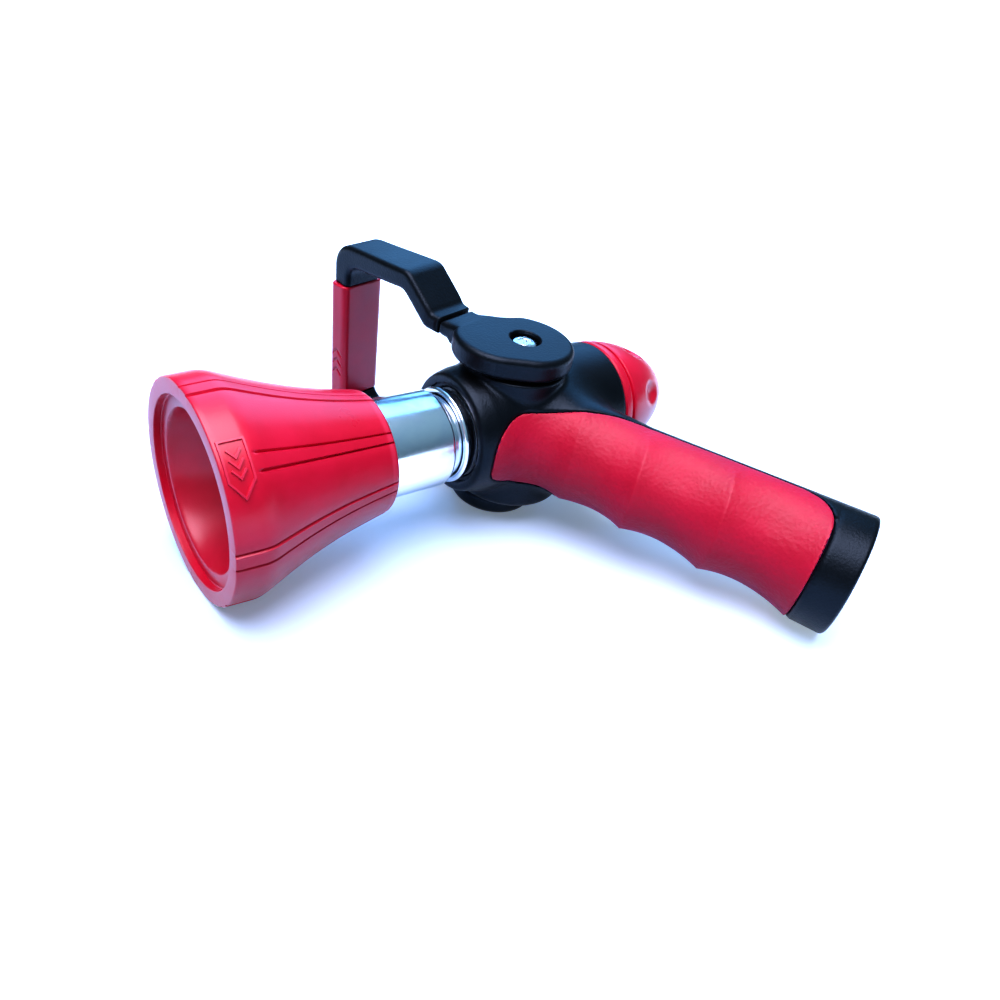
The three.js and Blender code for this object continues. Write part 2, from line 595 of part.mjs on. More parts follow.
// Hub plate, its neck and the tang that enters the strap.
function makeHub(bevel) {
  const { base, top, neckEnd, recess, recessFloor, socket, trimStart, trimTop, trimBase } = HUB;
  const { neckOffset } = STRAP;
  let hub = plate(hubShape(), base, top, BAIL_FRAME, bevel, 7);
  hub = hub.subtract(box([trimStart, -20, trimTop], [30, 30, 30], BAIL_FRAME));
  hub = hub.subtract(box([trimStart, -20, 15], [30, 30, trimBase], BAIL_FRAME));
  const tangLow = [neckEnd - 3, neckOffset - TANG.halfWidth, TANG.low];
  const tangHigh = [TANG.end, neckOffset + TANG.halfWidth, TANG.high];
  hub = hub.add(box(tangLow, tangHigh, BAIL_FRAME));
  hub = hub.subtract(cylinder(recess, recessFloor, top + 1, ALONG_Z, 20));
  hub = hub.subtract(cylinder(STEM.screwBore + 0.1, base, top, ALONG_Z, 14));
  const half = socket / 2;
  return hub.subtract(box([-half, -half, base - 1], [half, half, STEM.top + CLEARANCE], BAIL_FRAME));
}

// The strap seen along its width: [outward, height], down the outside and back up the inside.
function strapShape() {
  const { start, kinkLow, kinkHigh, lowZ, highZ, cornerZ, thickness, outer, cornerRadius } = STRAP;
  const inner = outer - thickness - 0.3;
  const under = thickness * 0.92;
  const shape = new THREE.Shape();
  shape.moveTo(start, lowZ);
  shape.lineTo(kinkLow, lowZ);
  shape.lineTo(kinkHigh - 1.2, highZ - 0.7);
  shape.quadraticCurveTo(kinkHigh, highZ, kinkHigh + 1.6, highZ - 0.15);
  shape.lineTo(outer - cornerRadius - 1, cornerZ);
  shape.bezierCurveTo(outer - 3, cornerZ - 0.5, outer, cornerZ - 3.6, outer, cornerZ - 8);
  shape.lineTo(outer, -cornerZ + 8);
  shape.bezierCurveTo(outer, -cornerZ + 3.6, outer - 3, -cornerZ + 0.5, outer - cornerRadius - 1, -cornerZ);
  shape.lineTo(kinkHigh + 1.6, -highZ + 0.15);
  shape.quadraticCurveTo(kinkHigh, -highZ, kinkHigh - 1.2, -highZ + 0.7);
  shape.lineTo(kinkLow, -lowZ);
  shape.lineTo(start, -lowZ);
  shape.lineTo(start, -lowZ + 4.8);
  shape.lineTo(kinkLow + 1.8, -lowZ + 4.8);
  shape.lineTo(kinkHigh + 1, -highZ + under + 0.4);
  shape.lineTo(inner - 4, -cornerZ + thickness + 0.6);
  shape.quadraticCurveTo(inner, -cornerZ + thickness + 1.4, inner, -cornerZ + thickness + 5);
  shape.lineTo(inner, cornerZ - thickness - 5);
  shape.quadraticCurveTo(inner, cornerZ - thickness - 1.4, inner - 4, cornerZ - thickness - 0.6);
  shape.lineTo(kinkHigh + 1, highZ - under - 0.4);
  shape.lineTo(kinkLow + 1.8, lowZ - 4.8);
  shape.lineTo(start, lowZ - 4.8);
  return shape;
}

// Sideways run of the strap: each arm swings out towards its own hub, the two opposite ways.
function strapOffset(out, height) {
  const { start, outer, cornerZ, neckOffset, cornerOffset } = STRAP;
  const bar = cornerOffset * Math.min(1, Math.abs(height) / cornerZ);
  const towardsHub = THREE.MathUtils.clamp((outer - out) / (outer - start), 0, 1);
  return Math.sign(height) * THREE.MathUtils.lerp(bar, neckOffset, towardsHub);
}

// Rounded rectangle in the plane across the bar: [outward, across].
function barShape(inner, outer, halfWidth, round) {
  const shape = new THREE.Shape();
  shape.moveTo(inner + round, -halfWidth);
  shape.lineTo(outer - round, -halfWidth);
  shape.quadraticCurveTo(outer, -halfWidth, outer, -halfWidth + round);
  shape.lineTo(outer, halfWidth - round);
  shape.quadraticCurveTo(outer, halfWidth, outer - round, halfWidth);
  shape.lineTo(inner + round, halfWidth);
  shape.quadraticCurveTo(inner, halfWidth, inner, halfWidth - round);
  shape.lineTo(inner, -halfWidth + round);
  shape.quadraticCurveTo(inner, -halfWidth, inner + round, -halfWidth);
  return shape;
}

// The bar inside the sleeve, from one height to another.
function barCore(grow, from, to) {
  const { coreInset, inner, outer } = SLEEVE;
  const inset = coreInset - grow;
  const half = STRAP.barHalfWidth - 0.6 + grow;
  const shape = barShape(inner + inset, outer - inset, half, 1.2);
  return plate(shape, from, to, BAR_FRAME, 0, 4);
}

function makeBail() {
  const { start, kinkHigh, outer, halfWidth, barHalfWidth, neckOffset } = STRAP;
  const geometry = new THREE.ExtrudeGeometry(strapShape(), {
    depth: 2, bevelEnabled: true, bevelThickness: 0.6, bevelSize: 0.6, bevelOffset: -0.6,
    bevelSegments: 1, curveSegments: 6,
  });
  geometry.translate(0, 0, -1).rotateX(Math.PI / 2);
  const position = geometry.attributes.position;
  for (let i = 0; i < position.count; i += 1) {
    const [out, across, height] = [position.getX(i), position.getY(i), position.getZ(i)];
    const slim = THREE.MathUtils.smoothstep(out, kinkHigh, outer - 6);
    const half = THREE.MathUtils.lerp(halfWidth, barHalfWidth, slim);
    const edge = Math.abs(across) > 1.3 ? half : half - 0.6;
    position.setY(i, strapOffset(out, height) + Math.sign(across) * edge);
  }
  let bail = toSolid(geometry, BAIL_FRAME);
  const [bottom, top] = [SLEEVE.bottom - FIT, SLEEVE.top + FIT];
  const around = box([56, -20, bottom], [70, 20, top], BAIL_FRAME);
  bail = bail.subtract(around.subtract(barCore(0, bottom - 1, top + 1)));
  const socketLow = [start - 1, neckOffset - TANG.halfWidth - CLEARANCE, TANG.low - CLEARANCE];
  const socketHigh = [TANG.end + CLEARANCE, neckOffset + TANG.halfWidth + CLEARANCE, TANG.high + CLEARANCE];
  bail = bail.subtract(box(socketLow, socketHigh, BAIL_FRAME));
  return bail.subtract(box(socketLow, socketHigh, UNDER_FRAME));
}

function makeSleeve() {
  const { bottom, top, inner, outer, halfWidth, round } = SLEEVE;
  const skin = plate(barShape(inner, outer, halfWidth, round), bottom, top, BAR_FRAME, 0.5, 5);
  return skin.subtract(barCore(FIT, bottom - 1, top + 1));
}

function makeHubScrew() {
  const { headRadius, headTop, shankRadius, end } = SCREW;
  const seat = HUB.recessFloor + 0.1;
  let screw = turned([
    [0, end], [shankRadius, end], [shankRadius, seat], [headRadius, seat], [headRadius, headTop - 1.3],
    [headRadius * 0.8, headTop - 0.5], [headRadius * 0.45, headTop - 0.1], [0, headTop],
  ], ALONG_Z, 18);
  for (const turn of [0, 90]) {
    const frame = new THREE.Matrix4().makeRotationZ(deg(turn + 20));
    screw = screw.subtract(box([-1.9, -0.4, headTop - 1.6], [1.9, 0.4, headTop + 1], frame));
  }
  return screw;
}

// ---------- materials ----------

const finish = (color, roughness, metalness) => () => (
  new THREE.MeshStandardMaterial({ color, roughness, metalness })
);
const redPlastic = finish(0xc8203f, 0.38, 0);
const redRubber = finish(0xd0234a, 0.6, 0);
const blackRubber = finish(0x1b2226, 0.62, 0);
const sealRubber = finish(0x141414, 0.8, 0);
const chrome = finish(0xdfe6ee, 0.08, 1);
const castMetal = finish(0x9a9c9e, 0.45, 1);
const brass = finish(0xb8943f, 0.3, 1);
const steel = finish(0xc9ced2, 0.22, 1);
const whitePlastic = finish(0xf0eee8, 0.45, 0);

// ---------- assembly ----------

const nozzle = new THREE.Group();

function addPiece(name, solid, material, frame = new THREE.Matrix4()) {
  const mesh = new THREE.Mesh(toGeometry(solid, frame), material());
  mesh.name = name;
  nozzle.add(mesh);
}

const washer = ring(WASHER.radius, WASHER.hole, WASHER.rear, WASHER.front, GRIP_FRAME);

addPiece('valve_casting', makeCasting(), castMetal);
addPiece('housing_overmould', makeHousing(), blackRubber);
addPiece('grip_panel', makePanel(), redRubber);
addPiece('inlet_coupling', makeCoupling(), steel);
addPiece('inlet_washer', washer, sealRubber);
addPiece('barrel_tube', makeTube(), chrome);
addPiece('barrel_lip_ring', makeLipRing(), chrome);
addPiece('stem_spider', makeSpider(), whitePlastic);
addPiece('spray_stem', makeSprayStem(), brass);
addPiece('ball_seat', makeSeat(), whitePlastic);
addPiece('ball_seat_o_ring', oRing(SEAT_RING, ALONG_X), sealRubber);
addPiece('rear_plug', makePlug(), brass);
addPiece('rear_plug_o_ring', oRing(PLUG_RING, ALONG_X), sealRubber);
addPiece('rear_cap', makeCap(), redPlastic);
addPiece('rear_cap_gasket', oRing(CAP_RING, ALONG_X), redRubber);

addPiece('bell', makeBell(), redPlastic);
addPiece('bell_thread_bush', makeBellInsert(), brass);
addPiece('bell_o_ring', oRing(BELL_RING, ALONG_X), sealRubber);

addPiece('valve_ball', makeBall(), steel);
addPiece('lever_bail', makeBail(), blackRubber);
addPiece('bail_sleeve', makeSleeve(), redPlastic);
addPiece('upper_lever_hub', makeHub(HUB.upperBevel), blackRubber);
addPiece('lower_lever_hub', makeHub(HUB.lowerBevel), blackRubber, HALF_TURN);

const pairs = [
  ['stem', makeStem(), brass],
  ['stem_o_ring', oRing(STEM_RING, ALONG_Z, 18), sealRubber],
  ['hub_screw', makeHubScrew(), steel],
];
for (const [name, solid, material] of pairs) {
  addPiece(`upper_${name}`, solid, material);
  addPiece(`lower_${name}`, solid, material, HALF_TURN);
}

// The finished nozzle lies with the middle of its underside at the origin.
const bounds = new THREE.Box3().setFromObject(nozzle);
const centre = bounds.getCenter(new THREE.Vector3());
for (const mesh of nozzle.children) {
  mesh.geometry.translate(-centre.x, -centre.y, -bounds.min.z);
}

export default nozzle;
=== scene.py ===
"""Looks of the hose nozzle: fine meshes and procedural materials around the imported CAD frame.

Sizes are in millimetres from the point where the lever's pivot axis crosses the barrel axis, and
are turned into metres in the row frame when a mesh is made.
"""

import json
import math

import bpy
import numpy as np
from mathutils import Matrix, Vector


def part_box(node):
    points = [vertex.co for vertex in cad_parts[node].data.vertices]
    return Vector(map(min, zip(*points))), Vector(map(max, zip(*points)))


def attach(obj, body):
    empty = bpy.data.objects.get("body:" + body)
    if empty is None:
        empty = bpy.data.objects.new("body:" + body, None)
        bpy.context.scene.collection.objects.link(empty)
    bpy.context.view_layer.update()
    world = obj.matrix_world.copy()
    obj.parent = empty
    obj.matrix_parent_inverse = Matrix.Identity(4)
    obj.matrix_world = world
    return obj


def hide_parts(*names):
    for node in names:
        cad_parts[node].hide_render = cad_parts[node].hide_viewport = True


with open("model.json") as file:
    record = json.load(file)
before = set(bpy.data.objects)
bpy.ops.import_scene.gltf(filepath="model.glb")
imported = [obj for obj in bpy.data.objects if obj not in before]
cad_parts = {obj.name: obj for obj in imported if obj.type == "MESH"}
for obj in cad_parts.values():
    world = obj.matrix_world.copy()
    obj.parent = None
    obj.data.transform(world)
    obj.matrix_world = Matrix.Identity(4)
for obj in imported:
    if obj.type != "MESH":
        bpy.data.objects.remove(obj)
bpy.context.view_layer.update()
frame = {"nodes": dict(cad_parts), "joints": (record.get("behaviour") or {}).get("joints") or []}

MM = 0.001
LEVER_JOINT = next(j for j in frame["joints"] if j["name"] == "lever_swing")
PIVOT = np.array(LEVER_JOINT["pos_m"])


def span(node, axis):
    """Lowest and highest place of a CAD node along a row axis, in mm from the pivot."""
    low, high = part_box(node)
    return (low[axis] - PIVOT[axis]) / MM, (high[axis] - PIVOT[axis]) / MM


# ---------- sizes ----------

BELL_FRONT, BELL_REAR = span("bell", 0)
TUBE_NOSE, TUBE_TAIL = span("barrel_tube", 0)
HOUSING_FRONT = span("housing_overmould", 0)[0]
CAP_FRONT, CAP_END = span("rear_cap", 0)
HUB_BASE, HUB_TOP = span("upper_lever_hub", 2)

RIBS = 8
RIB_HALF_ANGLE = 4.3
GROOVE_HALF_ANGLE = 1.0
GROOVE_DEPTH = 0.75
SHOULDER_ANGLE = 7.0
SHOULDER_DEPTH = 0.2
FIRST_RIB = 88.0
ARROW_RIB = 133.0

GRIP_END = (42.96, -92.2)
GRIP_ANGLE = -1.14
GRIP_LENGTH = 100.0
CUFF_RADIUS = 16.8
PANEL_DEPTH = 1.7
# Half the gap between panel and housing, and the extra depth of the housing's recess.
SEAM = 0.12
PANEL_BED = 0.25

BAIL_ANGLE = math.radians(105.5)
NECK_END = 20.8
STRAP_START = 21.1
STRAP_OUTER = 65.2
NECK_OFFSET = 4.8
CORNER_OFFSET = 2.5
CORNER_Z = 31.2
BOSS_TOP = 19.3

# ---------- frames: origin and axes, in mm from the pivot ----------


def turned_frame(origin, angle):
    """A frame whose first axis points at an angle in the XY plane."""
    c, s = math.cos(angle), math.sin(angle)
    return np.array([*origin, 0.0]), np.array([[c, -s, 0], [s, c, 0], [0, 0, 1.0]])


PIVOT_FRAME = turned_frame((0.0, 0.0), 0.0)
# Along x the grip frame points to the fingers, along y out of the inlet.
GRIP_FRAME = turned_frame(GRIP_END, GRIP_ANGLE - math.pi / 2)
BAIL_FRAME = turned_frame((0.0, 0.0), BAIL_ANGLE)
UNDER_FRAME = (BAIL_FRAME[0], BAIL_FRAME[1] @ np.diag([1.0, -1.0, -1.0]))
LEAN = np.array([[1, 0, 0], [0, 1, CORNER_OFFSET / CORNER_Z], [0, 0, 1.0]])
BAR_FRAME = (BAIL_FRAME[0], BAIL_FRAME[1] @ LEAN)


def into(place, points):
    """Coordinates of pivot-frame points, a list of three arrays, in another frame."""
    origin, axes = place
    back = np.linalg.inv(axes)
    moved = [p - o for p, o in zip(points, origin)]
    return [sum(back[i][j] * moved[j] for j in range(3)) for i in range(3)]


# ---------- signed distances: negative inside ----------


def clip01(value):
    return np.clip(value, 0.0, 1.0)


def smooth_step(low, high, value):
    t = clip01((value - low) / (high - low))
    return t * t * (3 - 2 * t)


def blend_union(a, b, width):
    """Union with a fillet about as wide as width."""
    h = clip01(0.5 + 0.5 * (b - a) / width)
    return b * (1 - h) + a * h - width * h * (1 - h)


def round_both(a, b, radius):
    """Intersection whose edge is rounded."""
    u, v = a + radius, b + radius
    outside = np.hypot(np.maximum(u, 0), np.maximum(v, 0))
    return outside + np.minimum(np.maximum(u, v), 0) - radius


def cut(a, b, radius=0.0):
    """The solid a without the solid b, with the rim of the cut rounded."""
    return round_both(a, -b, radius) if radius else np.maximum(a, -b)


def between(value, low, high):
    return np.maximum(low - value, value - high)


def disc(a, b, radius):
    return np.hypot(a, b) - radius


def polygon_distance(a, b, outline):
    """Signed distance from points (a, b) to a closed outline."""
    nearest = np.full(np.broadcast(a, b).shape, 1e9)
    crossings = np.zeros(nearest.shape, bool)
    for (x0, y0), (x1, y1) in zip(outline, np.roll(outline, -1, axis=0)):
        dx, dy = x1 - x0, y1 - y0
        t = clip01(((a - x0) * dx + (b - y0) * dy) / (dx * dx + dy * dy + 1e-12))
        nearest = np.minimum(nearest, np.hypot(a - x0 - t * dx, b - y0 - t * dy))
        if abs(dy) > 1e-12:
            spans = (y0 <= b) != (y1 <= b)
            crossings ^= spans & (a < x0 + (b - y0) * dx / dy)
    return np.where(crossings, -nearest, nearest)


def bezier(points, steps=10):
    """Points along a Bezier curve of any order, without its last point."""
    t = np.linspace(0, 1, steps, endpoint=False)[:, None]
    level = [np.array(p, float)[None, :] for p in points]
    while len(level) > 1:
        level = [p * (1 - t) + q * t for p, q in zip(level, level[1:])]
    return level[0]


def arc(centre, radius, start, end, steps=24):
    angles = np.radians(np.linspace(start, end, steps, endpoint=False))
    return np.c_[centre[0] + radius * np.cos(angles), centre[1] + radius * np.sin(angles)]


# ---------- meshes ----------


def surface_net(field, low, high, step):
    """Quads on the zero surface of field(x, y, z), sampled on a regular grid."""
    axes = [np.arange(a, b + step, step) for a, b in zip(low, high)]
    x, y, z = np.meshgrid(*axes, indexing="ij")
    values = field(x, y, z).astype(np.float32)
    inside = values < 0
    cells = tuple(n - 1 for n in values.shape)
    total = np.zeros((3, *cells), np.float32)
    count = np.zeros(cells, np.float32)
    index = np.indices(cells, dtype=np.float32)
    for axis in range(3):
        others = [a for a in range(3) if a != axis]
        for shift_a in (0, 1):
            for shift_b in (0, 1):
                first = [slice(0, n) for n in cells]
                first[others[0]] = slice(shift_a, cells[others[0]] + shift_a)
                first[others[1]] = slice(shift_b, cells[others[1]] + shift_b)
                second = list(first)
                second[axis] = slice(1, cells[axis] + 1)
                a, b = values[tuple(first)], values[tuple(second)]
                cross = (a < 0) != (b < 0)
                t = np.where(cross, a / np.where(cross, a - b, 1), 0)
                count += cross
                total[axis] += cross * (index[axis] + t)
                total[others[0]] += cross * (index[others[0]] + shift_a)
                total[others[1]] += cross * (index[others[1]] + shift_b)
    used = count > 0
    number = np.full(cells, -1)
    number[used] = np.arange(used.sum())
    points = (total[:, used] / count[used]).T * step + np.array(low)
    faces = [net_faces(inside, number, axis) for axis in range(3)]
    points = settle(field, points, step)
    return points, np.concatenate(faces)


def net_faces(inside, number, axis):
    """Quads that cross the grid edges along one axis, wound to face out."""
    a, b = (axis + 1) % 3, (axis + 2) % 3
    order = (axis, a, b)
    solid = np.transpose(inside, order)
    cell = np.transpose(number, order)
    start, end = solid[:-1, 1:-1, 1:-1], solid[1:, 1:-1, 1:-1]
    ring = [cell[:, :-1, :-1], cell[:, 1:, :-1], cell[:, 1:, 1:], cell[:, :-1, 1:]]
    outward = np.stack([c[start & ~end] for c in ring], axis=1)
    inward = np.stack([c[end & ~start] for c in reversed(ring)], axis=1)
    return np.concatenate([outward, inward])


def settle(field, points, step):
    """Moves points towards the zero surface, twice, by at most 0.3 of a step each time."""
    for _ in range(2):
        x, y, z = points.T
        here = field(x, y, z)
        h = step * 0.25
        slope = np.stack([
            field(x + h, y, z) - field(x - h, y, z),
            field(x, y + h, z) - field(x, y - h, z),
            field(x, y, z + h) - field(x, y, z - h),
        ], axis=1) / (2 * h)
        size = np.maximum((slope ** 2).sum(1), 0.3)
        move = -(here / size)[:, None] * slope
        length = np.linalg.norm(move, axis=1, keepdims=True)
        points = points + move * np.minimum(1, 0.3 * step / np.maximum(length, 1e-9))
    return points


def make_piece(name, points, faces, place, material, body, slot, nodes):
    """A mesh object from points in mm in a local frame, riding on a CAD body."""
    origin, axes = place
    world = PIVOT + MM * (origin + np.asarray(points) @ axes.T)
    mesh = bpy.data.meshes.new(name)
    mesh.from_pydata(world.tolist(), [], [list(map(int, f)) for f in faces])
    mesh.validate()
    mesh.shade_smooth()
    mesh.materials.append(material)
    piece = bpy.data.objects.new(name, mesh)
    bpy.context.scene.collection.objects.link(piece)
    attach(piece, body)
    if nodes:
        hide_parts(*nodes)
    return piece


def sharpen(piece, degrees):
    """Keeps edges steeper than this angle sharp in the shading."""
    piece.data.set_sharp_from_angle(angle=math.radians(degrees))
    return piece


def lathe(profile, columns=128, radius_at=None):
    """A closed profile of (x, radius) pairs turned about X. radius_at may change each radius."""
    angles = (
        np.linspace(0, 2 * math.pi, columns, endpoint=False) if np.isscalar(columns) else columns
    )
    profile = np.asarray(profile, float)
    around = len(angles)
    x = np.repeat(profile[:, 0], around)
    r = np.repeat(profile[:, 1], around)
    a = np.tile(angles, len(profile))
    if radius_at:
        x, r = radius_at(x, r, a)
    points = np.c_[x, r * np.cos(a), r * np.sin(a)]
    rows = len(profile)
    i, j = np.meshgrid(np.arange(rows), np.arange(around), indexing="ij")
    next_row, next_column = (i + 1) % rows, (j + 1) % around
    quads = np.stack([
        i * around + j, next_row * around + j,
        next_row * around + next_column, i * around + next_column,
    ], axis=-1).reshape(-1, 4)
    area = np.sum(
        profile[:, 0] * np.roll(profile[:, 1], -1) - np.roll(profile[:, 0], -1) * profile[:, 1]
    )
    if area < 0:
        quads = quads[:, ::-1]
    return points, quads[:, ::-1]


def dense(profile, longest):
    """The same closed profile with no stretch longer than this."""
    points = []
    for a, b in zip(profile, np.roll(profile, -1, axis=0)):
        a, b = np.array(a, float), np.array(b, float)
        pieces = max(1, int(math.ceil(np.linalg.norm(b - a) / longest)))
        points += [a + (b - a) * k / pieces for k in range(pieces)]
    return np.array(points)


def rounded(profile, radius, steps=4):
    """The same closed profile with its corners rounded, by less where a side is short."""
    points = []
    count = len(profile)
    for k in range(count):
        before, corner, after = (np.array(profile[(k + d) % count], float) for d in (-1, 0, 1))
        back, on = before - corner, after - corner
        reach = min(radius, 0.45 * np.linalg.norm(back), 0.45 * np.linalg.norm(on))
        start = corner + back / max(np.linalg.norm(back), 1e-9) * reach
        end = corner + on / max(np.linalg.norm(on), 1e-9) * reach
        points += list(bezier([start, corner, end], steps)) + [end]
    return np.array(points)


# ---------- materials ----------


class Shader:
    """A small helper that wires a node material."""

    def __init__(self, name):
        self.material = bpy.data.materials.new(name)
        self.material.use_nodes = True
        self.tree = self.material.node_tree
        self.surface = self.tree.nodes["Principled BSDF"]
        self.place = self.tree.nodes.new("ShaderNodeTexCoord").outputs["Object"]

    def put(self, socket, value):
        if isinstance(value, bpy.types.NodeSocket):
            self.tree.links.new(value, socket)
        else:
            socket.default_value = value

    def node(self, kind, inputs=(), **settings):
        node = self.tree.nodes.new(kind)
        for key, value in settings.items():
            setattr(node, key, value)
        for key, value in dict(inputs).items():
            self.put(node.inputs[key], value)
        return node

    def noise(self, scale, detail=3.0, roughness=0.55, distortion=0.0, stretch=None):
        where = self.place
        if stretch:
            where = self.node(
                "ShaderNodeMapping", {"Vector": self.place, "Scale": stretch}
            ).outputs[0]
        inputs = {"Vector": where, "Scale": scale, "Detail": detail, "Roughness": roughness}
        inputs["Distortion"] = distortion
        return self.node("ShaderNodeTexNoise", inputs).outputs["Fac"]

    def cells(self, scale, feature="F1"):
        node = self.node(
            "ShaderNodeTexVoronoi", {"Vector": self.place, "Scale": scale}, feature=feature
        )
        return node.outputs["Distance"]

    def remap(self, value, low, high, to_low=0.0, to_high=1.0):
        inputs = {0: value, 1: low, 2: high, 3: to_low, 4: to_high}
        return self.node("ShaderNodeMapRange", inputs).outputs[0]

    def maths(self, operation, a, b):
        return self.node("ShaderNodeMath", {0: a, 1: b}, operation=operation).outputs[0]

    def mix(self, factor, a, b):
        node = self.node("ShaderNodeMix", data_type="RGBA")
        self.put(node.inputs["Factor"], factor)
        self.put(node.inputs[6], a)
        self.put(node.inputs[7], b)
        return node.outputs[2]

    def edges(self, low, high):
        """1 on worn outer edges, 0 elsewhere."""
        geometry = self.node("ShaderNodeNewGeometry")
        return self.remap(geometry.outputs["Pointiness"], low, high)

    def bump(self, height, strength, distance, normal=None):
        inputs = {"Height": height, "Strength": strength, "Distance": distance}
        node = self.node("ShaderNodeBump", inputs)
        if normal is not None:
            self.put(node.inputs["Normal"], normal)
        return node.outputs["Normal"]

    def finish(self, **values):
        for key, value in values.items():
            self.put(self.surface.inputs[key.replace("_", " ")], value)
        return self.material


def rgb(r, g, b):
    return (r, g, b, 1.0)


def red_plastic():
    """Satin crimson moulding with faint flow marks, fine grain and pale rubbed edges."""
    s = Shader("red_plastic")
    cloud = s.noise(60, 4, 0.6)
    colour = s.mix(s.remap(cloud, 0.3, 0.7), rgb(0.52, 0.004, 0.032), rgb(0.62, 0.006, 0.046))
    streak = s.noise(35, 3, 0.5, 0.6, (0.25, 1, 1))
    colour = s.mix(s.remap(streak, 0.55, 0.8, 0, 0.25), colour, rgb(0.74, 0.02, 0.07))
    colour = s.mix(s.maths("MULTIPLY", s.edges(0.54, 0.62), 0.35), colour, rgb(0.80, 0.08, 0.16))
    grain = s.noise(2600, 2, 0.6)
    rough = s.maths("ADD", s.remap(cloud, 0.3, 0.7, 0.27, 0.36), s.remap(streak, 0.4, 0.7, 0, 0.04))
    normal = s.bump(grain, 0.12, 0.0002)
    return s.finish(Base_Color=colour, Roughness=rough, Normal=normal, Specular_IOR_Level=0.5,
                    Coat_Weight=0.25, Coat_Roughness=0.3)


def red_rubber():
    """Soft-touch rubber with a leathery grain and painted shade in the grain's pits."""
    s = Shader("red_rubber")
    cloud = s.noise(70, 4, 0.6)
    colour = s.mix(s.remap(cloud, 0.3, 0.7), rgb(0.44, 0.003, 0.030), rgb(0.52, 0.004, 0.042))
    leather = s.cells(900)
    pores = s.cells(1700, "SMOOTH_F1")
    creases = s.noise(500, 5, 0.65, 0.8)
    height = s.maths("ADD", s.maths("MULTIPLY", leather, 0.7), s.maths("MULTIPLY", creases, 0.8))
    height = s.maths("ADD", height, s.maths("MULTIPLY", pores, 0.3))
    # Painted shade: darker in the pits of the leathery grain, where its bump is lowest.
    colour = s.mix(s.remap(leather, 0.0, 0.35, 0.25, 0.0), colour, rgb(0.36, 0.003, 0.014))
    rubbed = s.maths("MULTIPLY", s.edges(0.52, 0.58), s.remap(s.noise(90, 3), 0.4, 0.7))
    colour = s.mix(s.maths("MULTIPLY", rubbed, 0.4), colour, rgb(0.76, 0.04, 0.09))
    rough = s.maths("ADD", s.remap(cloud, 0.3, 0.7, 0.42, 0.52), s.maths("MULTIPLY", creases, 0.1))
    normal = s.bump(height, 0.35, 0.0003)
    return s.finish(Base_Color=colour, Roughness=rough, Normal=normal, Sheen_Weight=0.3,
                    Sheen_Roughness=0.4, Sheen_Tint=rgb(0.6, 0.35, 1.0))


def black_rubber():
    """Satin black overmould with a blue-grey sheen, fine grain, dust specks and faint scuffs."""
    s = Shader("black_rubber")
    cloud = s.noise(45, 4, 0.6)
    colour = s.mix(
        s.remap(cloud, 0.3, 0.7), rgb(0.0022, 0.0024, 0.0026), rgb(0.0045, 0.005, 0.0055)
    )
    specks = s.remap(s.noise(900, 2, 0.7), 0.68, 0.78)
    dusty = s.remap(s.noise(38, 4, 0.7), 0.52, 0.75)
    dust = s.maths("MULTIPLY", specks, dusty)
    scuff = s.remap(s.noise(320, 6, 0.75, 2.0, (1, 0.35, 1)), 0.60, 0.74)
    scuff = s.maths("MULTIPLY", scuff, s.remap(s.noise(25, 3), 0.5, 0.7))
    colour = s.mix(s.maths("MULTIPLY", dust, 0.5), colour, rgb(0.10, 0.11, 0.12))
    colour = s.mix(s.maths("MULTIPLY", scuff, 0.15), colour, rgb(0.03, 0.038, 0.042))
    colour = s.mix(s.maths("MULTIPLY", s.edges(0.54, 0.62), 0.3), colour, rgb(0.02, 0.025, 0.03))
    grain = s.noise(2200, 3, 0.6)
    pits = s.cells(1500)
    rough = s.maths("ADD", s.remap(cloud, 0.3, 0.7, 0.36, 0.43), s.maths("MULTIPLY", scuff, 0.05))
    normal = s.bump(s.maths("ADD", grain, pits), 0.16, 0.0002)
    return s.finish(Base_Color=colour, Roughness=rough, Normal=normal, Specular_IOR_Level=0.36,
                    Specular_Tint=rgb(0.62, 0.82, 1.0), Sheen_Weight=0.06, Sheen_Roughness=0.35,
                    Sheen_Tint=rgb(0.6, 0.75, 1.0))


def plated(name, colour, low, high, ring_scale):
    """Bright plating with turning marks, smears and tiny pits."""
    s = Shader(name)
    smear = s.noise(90, 5, 0.6, 0.5)
    rings = s.noise(ring_scale, 2, 0.5, 0.0, (12, 0.2, 0.2))
    pits = s.remap(s.noise(1400, 2, 0.7), 0.72, 0.8)
    tint = s.mix(s.remap(smear, 0.35, 0.7), colour, rgb(0.66, 0.76, 0.88))
    tint = s.mix(s.maths("MULTIPLY", pits, 0.5), tint, rgb(0.35, 0.35, 0.36))
    rough = s.maths("ADD", s.remap(smear, 0.3, 0.75, low, high), s.maths("MULTIPLY", pits, 0.2))
    normal = s.bump(rings, 0.05, 0.0002)
    return s.finish(Base_Color=tint, Metallic=1.0, Roughness=rough, Normal=normal)


def metal(name, colour, dark, low, high, scale, bump):
    """Cast or turned metal with stains and surface texture."""
    s = Shader(name)
    stain = s.noise(80, 5, 0.65)
    grit = s.noise(scale, 4, 0.65)
    tint = s.mix(s.remap(stain, 0.3, 0.7), dark, colour)
    rough = s.remap(grit, 0.3, 0.7, low, high)
    return s.finish(Base_Color=tint, Metallic=1.0, Roughness=rough,
                    Normal=s.bump(grit, bump, 0.0003))


def moulded(name, colour, dark, low, high):
    """Plain moulded seal rubber or natural plastic."""
    s = Shader(name)
    cloud = s.noise(120, 4, 0.6)
    grain = s.noise(1800, 3, 0.6)
    tint = s.mix(s.remap(cloud, 0.3, 0.7), dark, colour)
    rough = s.remap(cloud, 0.3, 0.7, low, high)
    return s.finish(Base_Color=tint, Roughness=rough, Normal=s.bump(grain, 0.15, 0.0002))


